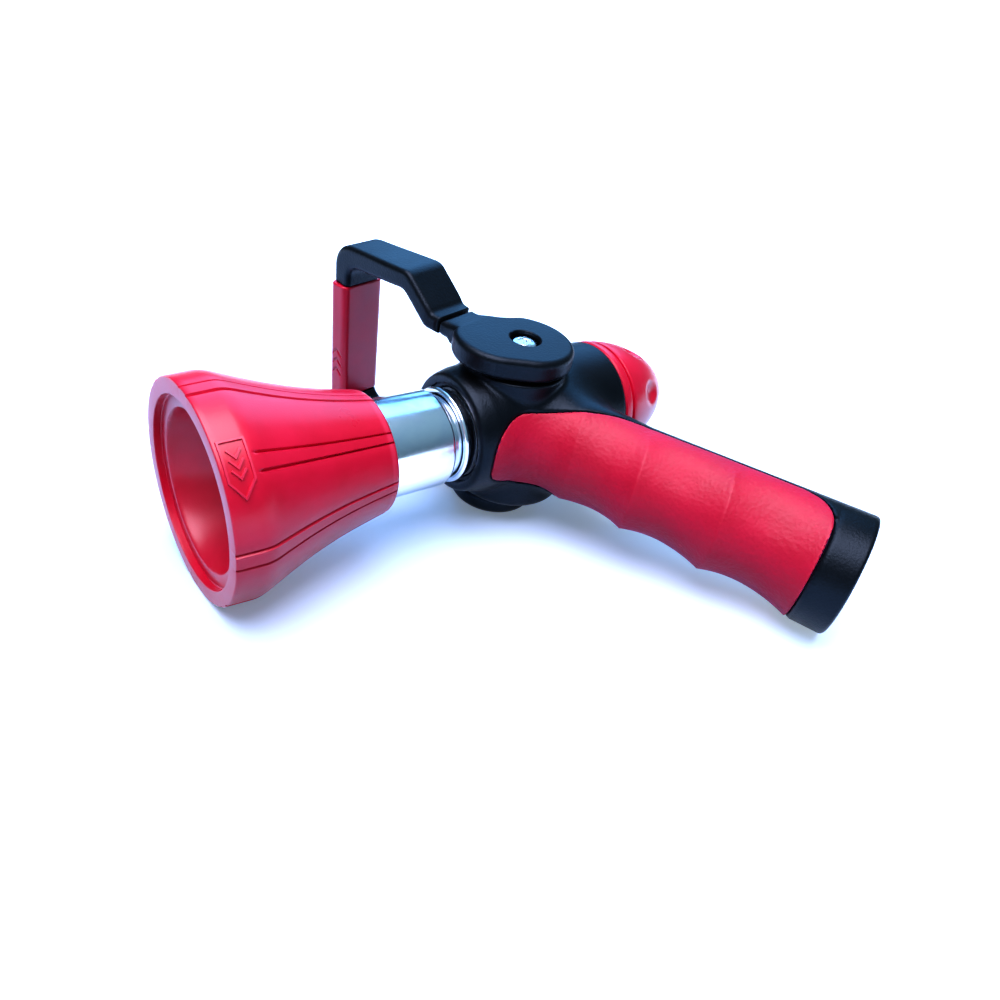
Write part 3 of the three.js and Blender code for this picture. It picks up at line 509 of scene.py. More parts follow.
RED = red_plastic()
GRIP_RED = red_rubber()
BLACK = black_rubber()
CHROME = plated("chrome", rgb(0.88, 0.93, 0.97), 0.13, 0.26, 300)
COUPLING = plated("coupling_metal", rgb(0.80, 0.82, 0.84), 0.12, 0.24, 500)
STEEL = plated("steel", rgb(0.78, 0.80, 0.82), 0.14, 0.26, 700)
CASTING = metal("casting", rgb(0.55, 0.56, 0.57), rgb(0.42, 0.43, 0.44), 0.4, 0.6, 1500, 0.5)
BRASS = metal("brass", rgb(0.78, 0.60, 0.26), rgb(0.62, 0.44, 0.17), 0.18, 0.32, 900, 0.15)
SEAL = moulded("seal_rubber", rgb(0.02, 0.02, 0.02), rgb(0.012, 0.012, 0.012), 0.45, 0.6)
WHITE = moulded("white_plastic", rgb(0.80, 0.79, 0.74), rgb(0.70, 0.69, 0.64), 0.35, 0.5)

# ---------- bell ----------

BAND_END = BELL_FRONT + 7.9
BAND_RADIUS = 27.2
FRONT_RADIUS = 26.8
REAR_RADIUS = 16.2
RIM_INNER = 22.9
STEP_DEPTH = 1.9
MOUTH_RADIUS = 19.6
BUSH_FRONT, BUSH_REAR = span("bell_thread_bush", 0)
RING_PLACE = sum(span("bell_o_ring", 0)) / 2


def bell_radius(x):
    """Outside of the bell: a nearly straight front band, then a concave flare."""
    band = FRONT_RADIUS + (x - BELL_FRONT) * (BAND_RADIUS - FRONT_RADIUS) / (BAND_END - BELL_FRONT)
    t = clip01((x - BAND_END) / (BELL_REAR - BAND_END))
    flare = BAND_RADIUS + (REAR_RADIUS - BAND_RADIUS) * t - 1.35 * np.sin(math.pi * t)
    return np.where(x < BAND_END, band, flare)


def groove_depth(x, angle):
    """Depth of the V grooves on both sides of each rib; the arrow's rib has none on the band."""
    degrees = np.degrees(angle)
    sector = 360 / RIBS
    rib = np.round((degrees - FIRST_RIB) / sector)
    off = np.abs(degrees - FIRST_RIB - sector * rib) - RIB_HALF_ANGLE
    notch = np.maximum(0, 1 - np.abs(off) / GROOVE_HALF_ANGLE)
    slope = np.where(off > 0, np.maximum(0, 1 - off / SHOULDER_ANGLE) ** 2, 0)
    centre = FIRST_RIB + sector * rib
    by_arrow = np.abs((centre - ARROW_RIB + 180) % 360 - 180) < 1
    start = np.where(by_arrow, BAND_END - 0.5, BELL_FRONT - 1.0)
    return (GROOVE_DEPTH * notch + SHOULDER_DEPTH * slope) * smooth_step(start, start + 1.5, x)


def bell_columns():
    """Angles round the bell, closer together across each groove."""
    sector = 360 / RIBS
    steps = np.array([-1.3, -1, -0.5, -0.12, 0.12, 0.5, 1, 1.3, 2.2])
    near = RIB_HALF_ANGLE + GROOVE_HALF_ANGLE * steps
    offsets = np.r_[-near[::-1], -1.5, 0, 1.5, near, np.arange(7.6, sector - 7.5, 1.55)]
    every = [FIRST_RIB + sector * k + o for k in range(RIBS) for o in np.sort(offsets)]
    return np.radians(np.sort(np.array(every) % 360))


def make_bell():
    places = np.linspace(BAND_END + 2.2, BELL_REAR - 1.2, 40)
    outside = [(x, float(bell_radius(np.array(x)))) for x in places]
    front = [(BELL_FRONT + x, FRONT_RADIUS + 0.05 * x) for x in (0.5, 1.6, 3.4, 5.2, 6.0)]
    rim = list(bezier([(BELL_FRONT, FRONT_RADIUS - 0.45), (BELL_FRONT, FRONT_RADIUS), front[0]], 5))
    shoulder = list(bezier([front[-1], (BAND_END, BAND_RADIUS), outside[0]], 10))
    tail = list(bezier([outside[-1], (BELL_REAR, REAR_RADIUS), (BELL_REAR, REAR_RADIUS - 1.2)], 5))
    floor = BELL_FRONT + STEP_DEPTH
    groove = 0.9
    inside = [
        (BELL_REAR, 13.75), (RING_PLACE + groove, 13.65), (RING_PLACE + groove, 14.8),
        (RING_PLACE - groove, 14.8), (RING_PLACE - groove, 13.65), (BUSH_REAR + 0.2, 13.65),
        (BUSH_REAR + 0.2, 13.2), (BUSH_FRONT - 0.2, 13.2), (BUSH_FRONT - 0.2, 8.7), (-70, 8.6),
    ]
    edge = MOUTH_RADIUS - 0.1
    cone = list(bezier([(-70, 8.6), (-75, 9.6), (-82, 16.5), (floor + 1.6, edge - 0.5)], 14))
    mouth = list(bezier([(floor + 1.6, edge - 0.5), (floor, edge), (floor, MOUTH_RADIUS + 0.2)], 5))
    step = list(bezier([(floor, RIM_INNER - 0.5), (floor, RIM_INNER), (floor - 0.3, RIM_INNER)], 4))
    lip = list(bezier([
        (BELL_FRONT + 0.25, RIM_INNER), (BELL_FRONT, RIM_INNER), (BELL_FRONT, RIM_INNER + 0.25),
    ], 4))
    profile = rim + front[1:-1] + shoulder + outside[1:] + tail + inside + cone + mouth
    profile += [(floor, MOUTH_RADIUS + 0.2)] + step + lip + [(BELL_FRONT, RIM_INNER + 0.25)]

    def grooved(x, r, a):
        return x, r - np.where(r > bell_radius(x) - 0.3, groove_depth(x, a), 0)

    points, faces = lathe(profile, bell_columns(), grooved)
    piece = make_piece(
        "bell_shell", points, faces, PIVOT_FRAME, RED, "bell", "red_plastic", ["bell"]
    )
    return sharpen(piece, 40)


def on_bell(x, degrees, lift):
    """A point on the bell's outside, lifted off it."""
    a = math.radians(degrees)
    r = float(bell_radius(np.array(x))) + lift
    return (x, r * math.cos(a), r * math.sin(a))


def raised_line(path, width, lift, closed):
    """A low ridge along a path of (x, degrees) places on the bell, with sloping sides."""
    dense_path = []
    ends = path[1:] + path[:1] if closed else path[1:]
    for (x0, a0), (x1, a1) in zip(path, ends):
        dense_path += [(x0 + (x1 - x0) * t, a0 + (a1 - a0) * t) for t in np.linspace(0, 1, 7)[:-1]]
    if not closed:
        dense_path.append(path[-1])
    per_degree = BAND_RADIUS * math.pi / 180
    flat = np.array([(x, a * per_degree) for x, a in dense_path])
    ahead = np.roll(flat, -1, axis=0) - flat
    behind = flat - np.roll(flat, 1, axis=0)
    if not closed:
        ahead[-1], behind[0] = behind[-1], ahead[0]
    unit = [v / np.maximum(np.linalg.norm(v, axis=1, keepdims=True), 1e-9) for v in (ahead, behind)]
    side = np.stack([-(unit[0] + unit[1])[:, 1], (unit[0] + unit[1])[:, 0]], axis=1)
    side /= np.maximum((side ** 2).sum(1, keepdims=True) / 2, 0.8)
    section = [(-0.5, -0.25), (-0.32, lift), (0.32, lift), (0.5, -0.25)]
    points = []
    for place, across in zip(flat, side):
        for offset, height in section:
            x, run = place + across * offset * width
            points.append(on_bell(x, run / per_degree, height))
    count, ring = len(flat), len(section)
    last = count if closed else count - 1
    faces = []
    for i in range(last):
        for j in range(ring):
            k = (i + 1) % count
            n = (j + 1) % ring
            faces.append((i * ring + j, i * ring + n, k * ring + n, k * ring + j))
    if not closed:
        faces.append(tuple(range(ring - 1, -1, -1)))
        faces.append(tuple((count - 1) * ring + j for j in range(ring)))
    return np.array(points), faces


def make_bell_arrow():
    """Raised arrow-shaped frame with three plain chevrons in it."""
    x0, x1, xm = BELL_FRONT + 1.1, BELL_FRONT + 6.5, BELL_FRONT + 3.8
    outline = [(x0, 121.4), (x1, 121.4), (x1, 139.5), (xm, 147.5), (x0, 139.5)]
    lines = [raised_line(outline, 0.7, 0.42, True)]
    for k in range(3):
        a = 125.5 + 4.6 * k
        lines.append(raised_line([(x0 + 1.2, a), (xm, a + 4.0), (x1 - 1.2, a)], 0.62, 0.42, False))
    points, faces = [], []
    for line_points, line_faces in lines:
        start = sum(len(p) for p in points)
        points.append(line_points)
        faces += [tuple(start + i for i in face) for face in line_faces]
    args = (PIVOT_FRAME, RED, "bell", "red_plastic", [])
    return sharpen(make_piece("bell_arrow", np.concatenate(points), faces, *args), 35)


# ---------- tube, lip ring and rear cap ----------


def make_tube():
    bore, neck, tail = 7.4, 11.6, 9.3
    shoulder, rear = -57.6, -27.3
    profile = [
        (TUBE_TAIL, bore), (TUBE_TAIL, tail), (-19.3, tail), (-19.3, neck), (rear + 0.5, neck),
        (rear + 0.4, 12.9), (rear - 0.4, 13.3), (-46.2, 13.3), (shoulder, 13.2), (shoulder, 10.9),
        (TUBE_NOSE, 10.9), (TUBE_NOSE, 9.8), (-61.2, 9.8), (-61.2, bore),
    ]
    points, faces = lathe(rounded(profile, 0.35), 160)
    args = (PIVOT_FRAME, CHROME, "nozzle_body", "chrome", ["barrel_tube"])
    return sharpen(make_piece("chrome_tube", points, faces, *args), 40)


def make_lip_ring():
    front, rear = span("barrel_lip_ring", 0)
    profile = [
        (front, 11.9), (front, 12.7), (front + 0.35, 13.2), (front + 1.0, 13.3),
        (front + 1.6, 12.9), (front + 1.9, 12.5), (rear, 12.5), (rear, 11.9),
    ]
    points, faces = lathe(rounded(profile, 0.3), 160)
    args = (PIVOT_FRAME, CHROME, "nozzle_body", "chrome", ["barrel_lip_ring"])
    return sharpen(make_piece("chrome_lip", points, faces, *args), 50)


DOME_START = CAP_FRONT + 4.1
DOME_TIP = 60.4
DOME_RADIUS = 17.8
DIMPLES = 6
FIRST_DIMPLE = 150
DIMPLE_X = 48.2
DIMPLE_REACH = 19.8
DIMPLE_RADIUS = 7.1


def dimpled(x, r, a):
    """Draws points of the dome in where a shallow ball-shaped dimple lies."""
    outer = r > 11.8
    for k in range(DIMPLES):
        turn = math.radians(FIRST_DIMPLE) + k * 2 * math.pi / DIMPLES
        across = r * np.sin(a - turn)
        out = r * np.cos(a - turn) - DIMPLE_REACH
        gap = np.sqrt((x - DIMPLE_X) ** 2 + across ** 2 + out ** 2)
        deep = np.maximum(0, DIMPLE_RADIUS - gap)
        r = r - np.where(outer, np.sqrt(deep * deep + 0.02) - 0.14, 0)
    return x, r


def make_cap():
    groove = CAP_FRONT + 3.3
    dome = []
    for t in np.sin(np.linspace(0, math.pi / 2, 34)):
        x = DOME_START + t * (CAP_END - DOME_START)
        share = (x - DOME_START) / (DOME_TIP - DOME_START)
        dome.append((x, DOME_RADIUS * math.sqrt(1 - share ** 1.46)))
    end_radius = dome[-1][1]
    tip = list(bezier([dome[-1], (CAP_END, end_radius * 0.6), (CAP_END, 0.02)], 6))[1:]
    flange = [
        (CAP_FRONT, 17.6), (CAP_FRONT + 0.5, 18.15), (CAP_FRONT + 2.3, 18.15),
        (groove - 0.5, 17.8),
    ]
    slot = [(groove - 0.35, 17.1), (groove + 0.35, 17.1), (DOME_START - 0.2, 17.7)]
    inside = [(CAP_END - 2.4, 0.02), (CAP_END - 3.4, 6), (42, 11.7), (CAP_FRONT, 11.7)]
    profile = flange + slot + dome + tip + [(CAP_END, 0.02)] + inside
    points, faces = lathe(dense(profile, 1.2), 168, dimpled)
    args = (PIVOT_FRAME, RED, "nozzle_body", "red_plastic", ["rear_cap"])
    return sharpen(make_piece("cap_dome", points, faces, *args), 40)


def make_gasket():
    """The thin red ring squeezed between the housing and the cap."""
    front, rear = span("rear_cap_gasket", 0)
    inner, outer, edge = 16.0, 17.9, CAP_FRONT - 0.05
    profile = [
        (front, inner), (front, outer), (edge, outer), (edge, inner + 0.8), (rear, inner + 0.7),
        (rear, inner),
    ]
    points, faces = lathe(rounded(profile, 0.15), 128)
    args = (PIVOT_FRAME, GRIP_RED, "nozzle_body", "red_rubber", ["rear_cap_gasket"])
    return make_piece("cap_gasket", points, faces, *args)


# ---------- housing, grip and panel ----------

# Ridges on the finger side of the grip, [along, radius], and how deep each hollow after one is.
RIDGES = np.array([[-99.0, 13.8], [-76.2, 13.3], [-57.3, 15.1], [-33.8, 15.3], [-8.6, 17.0]])
HOLLOWS = [1.0, 1.7, 2.5, 2.9]
RIDGE_SLANT = 3.2


def scallop(s):
    """Depth of the finger hollows at a place along the grip: none on a ridge."""
    depth = np.zeros(np.shape(s))
    for low, high, deep in zip(RIDGES[:-1, 0], RIDGES[1:, 0], HOLLOWS):
        t = clip01((s - low) / (high - low))
        depth = depth + deep * (1 - np.abs(2 * t - 1) ** 1.7)
    return depth


def grip_distance(x, y, z):
    """The grip: ridges on the finger side, a smooth taper on the back and sides."""
    u, s, w = into(GRIP_FRAME, [x, y, z])
    facing = u / np.maximum(np.hypot(u, w), 1e-6)
    along = np.where(s < -10, s + RIDGE_SLANT * (1 - np.maximum(0, facing)), s)
    ridge = np.interp(along, [*RIDGES[:, 0], -6.0, 0.0], [*RIDGES[:, 1], 16.9, 16.8])
    back = np.interp(s, [-62, 0], [14.2, CUFF_RADIUS])
    side = np.interp(s, [-100, -62, 0], [16.0, 14.4, CUFF_RADIUS])
    reach = np.hypot(u / np.where(u > 0, ridge, back), w / side)
    distance = (reach - 1) * np.hypot(u, w) / np.maximum(reach, 1e-6)
    distance = distance + scallop(along) * smooth_step(-0.15, 0.75, facing)
    return round_both(distance, between(s, -GRIP_LENGTH, 0.0), 0.9)


# The barrel's radius at places along it.
BARREL_REAR = 31.0
BARREL_PLACES = [HOUSING_FRONT, -19.0, -16.0, -12.0, BARREL_REAR]
BARREL_RADII = [16.3, 17.0, 17.7, 18.1, 18.25]
# Centre, radius and edge rounding of each boss under a hub plate.
UPPER_BOSS = ((-1.3, 0.8), 14.4, 0.6)
LOWER_BOSS = ((2.3, -1.8), 17.0, 2.2)
GRIP_FILLET = 7.0
UPPER_FILLET = 1.6
LOWER_FILLET = 2.0


def barrel_distance(x, y, z):
    radius = np.interp(x, BARREL_PLACES, BARREL_RADII)
    ends = between(x, HOUSING_FRONT, BARREL_REAR)
    return round_both(np.hypot(y, z) - radius, ends, 0.8)


def boss_distance(x, y, z, side, boss):
    """The boss above the barrel axis (side 1) or below it (side -1)."""
    centre, radius, edge = boss
    around = disc(x - centre[0], y - centre[1], radius)
    return round_both(around, np.maximum(side * z - BOSS_TOP, -side * z), edge)


def overmould(x, y, z):
    """Outer shape of housing, bosses and grip, with a broad fillet at the grip."""
    shape = blend_union(barrel_distance(x, y, z), grip_distance(x, y, z), GRIP_FILLET)
    shape = blend_union(shape, boss_distance(x, y, z, 1, UPPER_BOSS), UPPER_FILLET)
    shape = blend_union(shape, boss_distance(x, y, z, -1, LOWER_BOSS), LOWER_FILLET)
    return round_both(shape, np.abs(z) - BOSS_TOP, 0.4)


def hollow(x, y, z):
    """Space inside the overmould for the casting, the ring, the cap and the inlet coupling."""
    r = np.hypot(y, z)
    bore = np.maximum(r - 15.0, between(x, -13.8, 40))
    front = np.maximum(r - 12.6, between(x, -21, -13))
    mouth = np.maximum(r - 13.9, x + 19.9)
    bosses = np.maximum(disc(x, y, 10.7), np.abs(z) - BOSS_TOP + 0.5)
    stems = disc(x, y, 6.0)
    u, s, w = into(GRIP_FRAME, [x, y, z])
    q = np.hypot(u, w)
    pipe = np.maximum(q - 9.4, between(s, -96, -20))
    neck = np.maximum(q - 10.2, between(s, -22.2, 1))
    seat = np.maximum(q - 14.0, -13.4 - s)
    pocket = np.maximum(q - 15.3, -9.0 - s)
    return np.minimum.reduce([bore, front, mouth, bosses, stems, pipe, neck, seat, pocket])


def panel_outline():
    """Side view of the panel, [towards the fingers, along the grip]."""
    return np.concatenate([
        [(34, -9.5), (18, -9.7)],
        bezier([(18, -9.7), (12, -10.0), (9, -9.2), (4.5, -10.3)]),
        bezier([(4.5, -10.3), (-0.5, -11.8), (-3.5, -15), (-4.6, -20)]),
        [(-4.6, -20), (-4.3, -46)],
        bezier([(-3.6, -61), (-2.2, -70), (0.5, -74.5), (3.2, -79)]),
        bezier([(3.2, -79), (6.5, -85.5), (11.5, -94.8), (20, -95)]),
        bezier([(20, -95), (25, -95), (28, -92), (34, -80)]),
    ])


def panel_region(x, y, z):
    """Signed distance to the prism and nose outline that bound the red panel."""
    u, s, w = into(GRIP_FRAME, [x, y, z])
    if x.ndim == 3:
        side = polygon_distance(u[:, :, :1], s[:, :, :1], panel_outline())
    else:
        side = polygon_distance(u, s, panel_outline())
    high = np.interp(s, [-84, -76], [17, 24])
    low = np.interp(s, [-88, -80, -70], [9.5, 11.5, 24])
    middle = np.where(w > 0, w - high, -w - low)
    nose = round_both(middle, -94.2 - s, 6.5)
    return round_both(side + 0 * w, nose, 2.0)


def body_field(x, y, z):
    """The black overmould: hollow inside, with a recess for the panel."""
    shape = overmould(x, y, z)
    recess = np.maximum(panel_region(x, y, z) - SEAM, -(shape + PANEL_DEPTH + PANEL_BED))
    return cut(cut(shape, hollow(x, y, z)), recess, 0.3)


def panel_field(x, y, z):
    """The red panel, kept clear of the insert inside the cuff."""
    shape = overmould(x, y, z)
    skin = round_both(shape, panel_region(x, y, z) + SEAM, 0.5)
    u, s, w = into(GRIP_FRAME, [x, y, z])
    guard = np.maximum(np.hypot(u, w) - 14.3, -13.8 - s)
    return cut(np.maximum(skin, -(shape + PANEL_DEPTH)), guard)


BODY_LOW = (-22.5, -108, -20.5)
BODY_HIGH = (62, 20, 20.5)
BODY_STEP = 0.5
PANEL_STEP = 0.45


def make_body():
    points, faces = surface_net(body_field, BODY_LOW, BODY_HIGH, BODY_STEP)
    args = (PIVOT_FRAME, BLACK, "nozzle_body", "black_rubber", ["housing_overmould"])
    return sharpen(make_piece("housing_skin", points, faces, *args), 50)


def make_panel():
    points, faces = surface_net(panel_field, BODY_LOW, BODY_HIGH, PANEL_STEP)
    args = (PIVOT_FRAME, GRIP_RED, "nozzle_body", "red_rubber", ["grip_panel"])
    return sharpen(make_piece("grip_inlay", points, faces, *args), 50)


# ---------- inlet ----------


def make_coupling():
    """Threaded insert with a true single-start helix."""
    face, shoulder, rear, neck = -0.7, -8.8, -13.2, -22.0
    pitch, major, crest, thread_end = 2.21, 13.6, 12.75, -9.0
    bore = [(s, major) for s in np.arange(face - 0.4, thread_end, -0.16)]
    seat, relief, flange, skirt = -11.7, 13.2, 15.2, 13.8
    profile = [
        (neck, 8.3), (rear + 0.2, 8.3), (rear + 0.2, 6.4), (seat, 6.4), (seat, relief),
        (thread_end, relief),
    ]
    profile += bore[::-1] + [
        (face, major + 0.4), (face, flange), (shoulder, flange), (shoulder, skirt),
    ]
    profile += [(rear, skirt), (rear, 10.0), (neck, 10.0)]

    def helix(s, r, a):
        turn = ((face - s) / pitch + a / (2 * math.pi)) % 1.0
        tooth = clip01(1.6 * (1 - 2 * np.abs(turn - 0.5)) - 0.25)
        fade = smooth_step(thread_end, thread_end + 0.8, s) * smooth_step(0.2, 0.9, face - s)
        return s, np.where(r == major, major - (major - crest) * tooth * fade, r)

    points, faces = lathe(profile, 144, helix)
    swapped = points[:, [1, 0, 2]]
    args = (GRIP_FRAME, COUPLING, "nozzle_body", "coupling_metal", ["inlet_coupling"])
    return sharpen(make_piece("inlet_insert", swapped, faces[:, ::-1], *args), 30)


# ---------- lever ----------


def hub_outline(grow):
    """Plan of a hub plate and its neck in the bail frame, its rounds larger by grow."""
    radius, lobe = 13.3 + grow, (4.1, 5.2)
    far = (radius * math.cos(math.radians(-46)), radius * math.sin(math.radians(-46)))
    return np.concatenate([
        [(NECK_END, -1.9)],
        bezier([(17.5, -1.9), (14, -2.5), (far[0] + 2, far[1] + 4.2), far]),
        arc((0, 0), radius, -46, -225, 44),
        arc(lobe, 12.5 + grow, 135, 32, 30),
        bezier([
            (14.7 + 0.8 * grow, 11.8 + 0.5 * grow), (16.2, 12.0), (17.2, 11.6), (NECK_END, 11.5),
        ]),
        [(NECK_END, 11.5)],
    ])


def hub_field(edge, grow):
    """A hub plate with its neck, a screw recess, a bore and the square socket for the stem."""
    outline = hub_outline(grow)

    def field(x, y, z):
        flat = x[:, :, :1] if x.ndim == 3 else x
        plan = polygon_distance(flat, y[:, :, :1] if y.ndim == 3 else y, outline) + 0 * z
        top = HUB_TOP - 0.8 * smooth_step(13.5, 18.5, x)
        base = HUB_BASE + 0.9 * smooth_step(16.5, 18, x)
        body = round_both(plan, between(z, base, top), edge)
        seam = round_both(body, x - NECK_END, 0.4)
        recess = np.maximum(disc(x, y, 4.4), 23.4 - z)
        bore = disc(x, y, 2.4)
        socket = np.maximum(np.maximum(np.abs(x), np.abs(y)) - 3.4, z - 22.7)
        return cut(cut(cut(seam, recess, 0.35), bore), socket)

    return field


def make_hub(name, node, place, edge, grow):
    low, high = (-16, -15.5, 18.5), (22, 19.5, 27.5)
    points, faces = surface_net(hub_field(edge, grow), low, high, 0.35)
    args = (place, BLACK, "lever", "black_rubber", [node])
    return sharpen(make_piece(name, points, faces, *args), 50)


def strap_outline():
    """The strap seen along its width, [outward, height], upper half mirrored to the lower."""
    top = np.concatenate([
        [(STRAP_START, 25.6), (23.4, 25.6)],
        bezier([(23.4, 25.6), (24.2, 25.7), (25.0, 26.6)], 4),
        [(25.0, 26.6), (33.2, 32.7)],
        bezier([(33.2, 32.7), (34.6, 33.6), (36.4, 33.45)], 6),
        [(36.4, 33.45), (57.6, 31.2)],
        bezier([(57.6, 31.2), (62.4, 30.7), (65.2, 27.4), (STRAP_OUTER, 22.6)], 12),
    ])
    inner = np.concatenate([
        [(58.9, 19.0), (58.9, 21.0)],
        bezier([(58.9, 21.0), (58.7, 24.0), (55.6, 24.9)], 8),
        [(55.6, 24.9), (37.6, 27.6)],
        bezier([(37.6, 27.6), (35.6, 28.0), (34.2, 26.9)], 6),
        [(34.2, 26.9), (26.4, 21.2)],
        bezier([(26.4, 21.2), (25.6, 20.8), (24.4, 20.8)], 4),
        [(24.4, 20.8), (STRAP_START, 20.8)],
    ])
    mirror = np.array([1.0, -1.0])
    return np.concatenate([top, (top * mirror)[::-1], (inner * mirror)[::-1], inner])


def strap_field(x, y, z):
    """The bent strap with its two arms swung out to the hubs, thinned under the sleeve."""
    flat = (x[:, :1, :], z[:, :1, :]) if x.ndim == 3 else (x, z)
    side = polygon_distance(*flat, strap_outline()) + 0 * y
    bar = CORNER_OFFSET * np.minimum(1, np.abs(z) / CORNER_Z)
    reach = clip01((STRAP_OUTER - x) / (STRAP_OUTER - STRAP_START))
    offset = np.sign(z) * (bar + (NECK_OFFSET - bar) * reach)
    half = 7.7 - 0.8 * smooth_step(34.6, 59, x) - 0.5 * (1 - smooth_step(STRAP_START, 27, x))
    strap = round_both(side, np.abs(y - offset) - half, 1.5)
    strap = np.maximum(strap, STRAP_START - x)
    core = np.maximum(between(x, 60.1, 64.3), np.abs(y - z * CORNER_OFFSET / CORNER_Z) - 6.3)
    sleeve_zone = between(z, SLEEVE_BOTTOM - 0.2, SLEEVE_TOP + 0.2)
    return np.where(x > 50, np.maximum(strap, np.minimum(-sleeve_zone, core)), strap)


SLEEVE_BOTTOM = -22.2
SLEEVE_TOP = 17.8


def make_strap():
    low, high = (20, -14, -35), (66.5, 14, 35)
    points, faces = surface_net(strap_field, low, high, 0.5)
    args = (BAIL_FRAME, BLACK, "lever", "black_rubber", ["lever_bail"])
    return sharpen(make_piece("bail_strap", points, faces, *args), 50)


SLEEVE_INNER = 58.9
SLEEVE_OUTER = 65.5
SLEEVE_HALF = 8.1
CHEVRONS = 3
CHEVRON_PITCH = 3.4


def chevron_distance(a, b, size, width):
    """A V pointing along +b, seen flat."""
    return np.maximum(np.abs(b + np.abs(a)) - width, np.abs(a) - size)


def sleeve_field(x, y, z):
    """A sleeve with rounded edges round the bar, with shallow chevrons in one narrow side."""
    middle = (SLEEVE_INNER + SLEEVE_OUTER) / 2
    box = round_both(between(x, SLEEVE_INNER, SLEEVE_OUTER), np.abs(y) - SLEEVE_HALF, 2.0)
    box = round_both(box, between(z, SLEEVE_BOTTOM, SLEEVE_TOP), 0.6)
    core = np.maximum(between(x, SLEEVE_INNER + 1.0, SLEEVE_OUTER - 1.0), np.abs(y) - 6.5)
    mark = np.full(np.shape(x), 9.0)
    for k in range(CHEVRONS):
        v = chevron_distance(x - middle, (z + 4.5 + CHEVRON_PITCH * k) * 0.9, 1.9, 0.45)
        mark = np.minimum(mark, v)
    return cut(cut(box, core), np.maximum(mark, SLEEVE_HALF - 0.4 - y), 0.1)


def make_sleeve():
    low, high = (58, -9.5, -23.4), (66.5, 9.5, 19)
    points, faces = surface_net(sleeve_field, low, high, 0.3)
    args = (BAR_FRAME, RED, "lever", "red_plastic", ["bail_sleeve"])
    return sharpen(make_piece("sleeve_skin", points, faces, *args), 50)


def screw_field(x, y, z):
    """A domed screw with a cross recess."""
    head_top, head_radius, seat = 25.9, 3.6, 23.5
    r = np.hypot(x, y)
    dome = z - (head_top - 0.075 * r * r)
    head = round_both(np.maximum(r - head_radius, seat - z), dome, 0.4)
    shank = np.maximum(r - 1.95, between(z, 13.4, seat + 0.2))
    a = math.radians(38)
    u, v = x * math.cos(a) + y * math.sin(a), y * math.cos(a) - x * math.sin(a)
    reach, half_width = 2.1, 0.42
    along = np.maximum(np.abs(u) - reach, np.abs(v) - half_width)
    across = np.maximum(np.abs(v) - reach, np.abs(u) - half_width)
    slots = np.minimum(along, across)
    recess = blend_union(slots, r - 0.8, 0.3)
    recess = np.maximum(recess, head_top - 1.5 + 0.3 * r - z)
    return cut(np.minimum(head, shank), recess, 0.12)


def make_screw(name, node, place):
    low, high = (-4.2, -4.2, 12.9), (4.2, 4.2, 26.4)
    points, faces = surface_net(screw_field, low, high, 0.15)
    args = (place, STEEL, "lever", "steel", [node])
    return sharpen(make_piece(name, points, faces, *args), 40)


# ---------- carried-over CAD nodes ----------

KEPT = {
    "valve_casting": CASTING, "inlet_washer": SEAL, "stem_spider": WHITE, "spray_stem": BRASS,
    "ball_seat": WHITE, "ball_seat_o_ring": SEAL, "rear_plug": BRASS, "rear_plug_o_ring": SEAL,
    "bell_thread_bush": BRASS, "bell_o_ring": SEAL, "valve_ball": STEEL, "upper_stem": BRASS,
    "lower_stem": BRASS, "upper_stem_o_ring": SEAL, "lower_stem_o_ring": SEAL,
}


def dress_kept_nodes():
    for name, material in KEPT.items():
        node = frame["nodes"][name]
        node.data.materials.clear()
        node.data.materials.append(material)
        node.data.shade_smooth()
        node.data.set_sharp_from_angle(angle=math.radians(32))


# ---------- stage ----------

# Half the floor's width, in metres.
FLOOR_HALF = 30.0
# Three places where the nozzle rests on the floor: bell rim, bail arm and grip end.
REST_PLACES = [(-88.0, 0.0, -27.3), (-9.6, 34.0, -33.9), (42.0, -92.0, -17.0)]
# The camera's place in mm from the pivot, its angles in degrees, and its focal length as a
# share of the sensor's width.
CAMERA_PLACE = (-140.19, -144.04, 121.27)
CAMERA_AZIMUTH = -45.33
CAMERA_ELEVATION = 36.82
CAMERA_ROLL = 14.03
FOCAL_SHARE = 0.8027


def to_row(place):
    return Vector(PIVOT + MM * np.array(place))


def floor_axes():
    a, b, c = (np.array(p) for p in REST_PLACES)
    up = np.cross(b - a, c - a)
    up = up / np.linalg.norm(up)
    up = up if up[2] > 0 else -up
    first = np.cross([0, 1, 0], up)
    first = first / np.linalg.norm(first)
    return np.column_stack([first, np.cross(up, first), up]), a


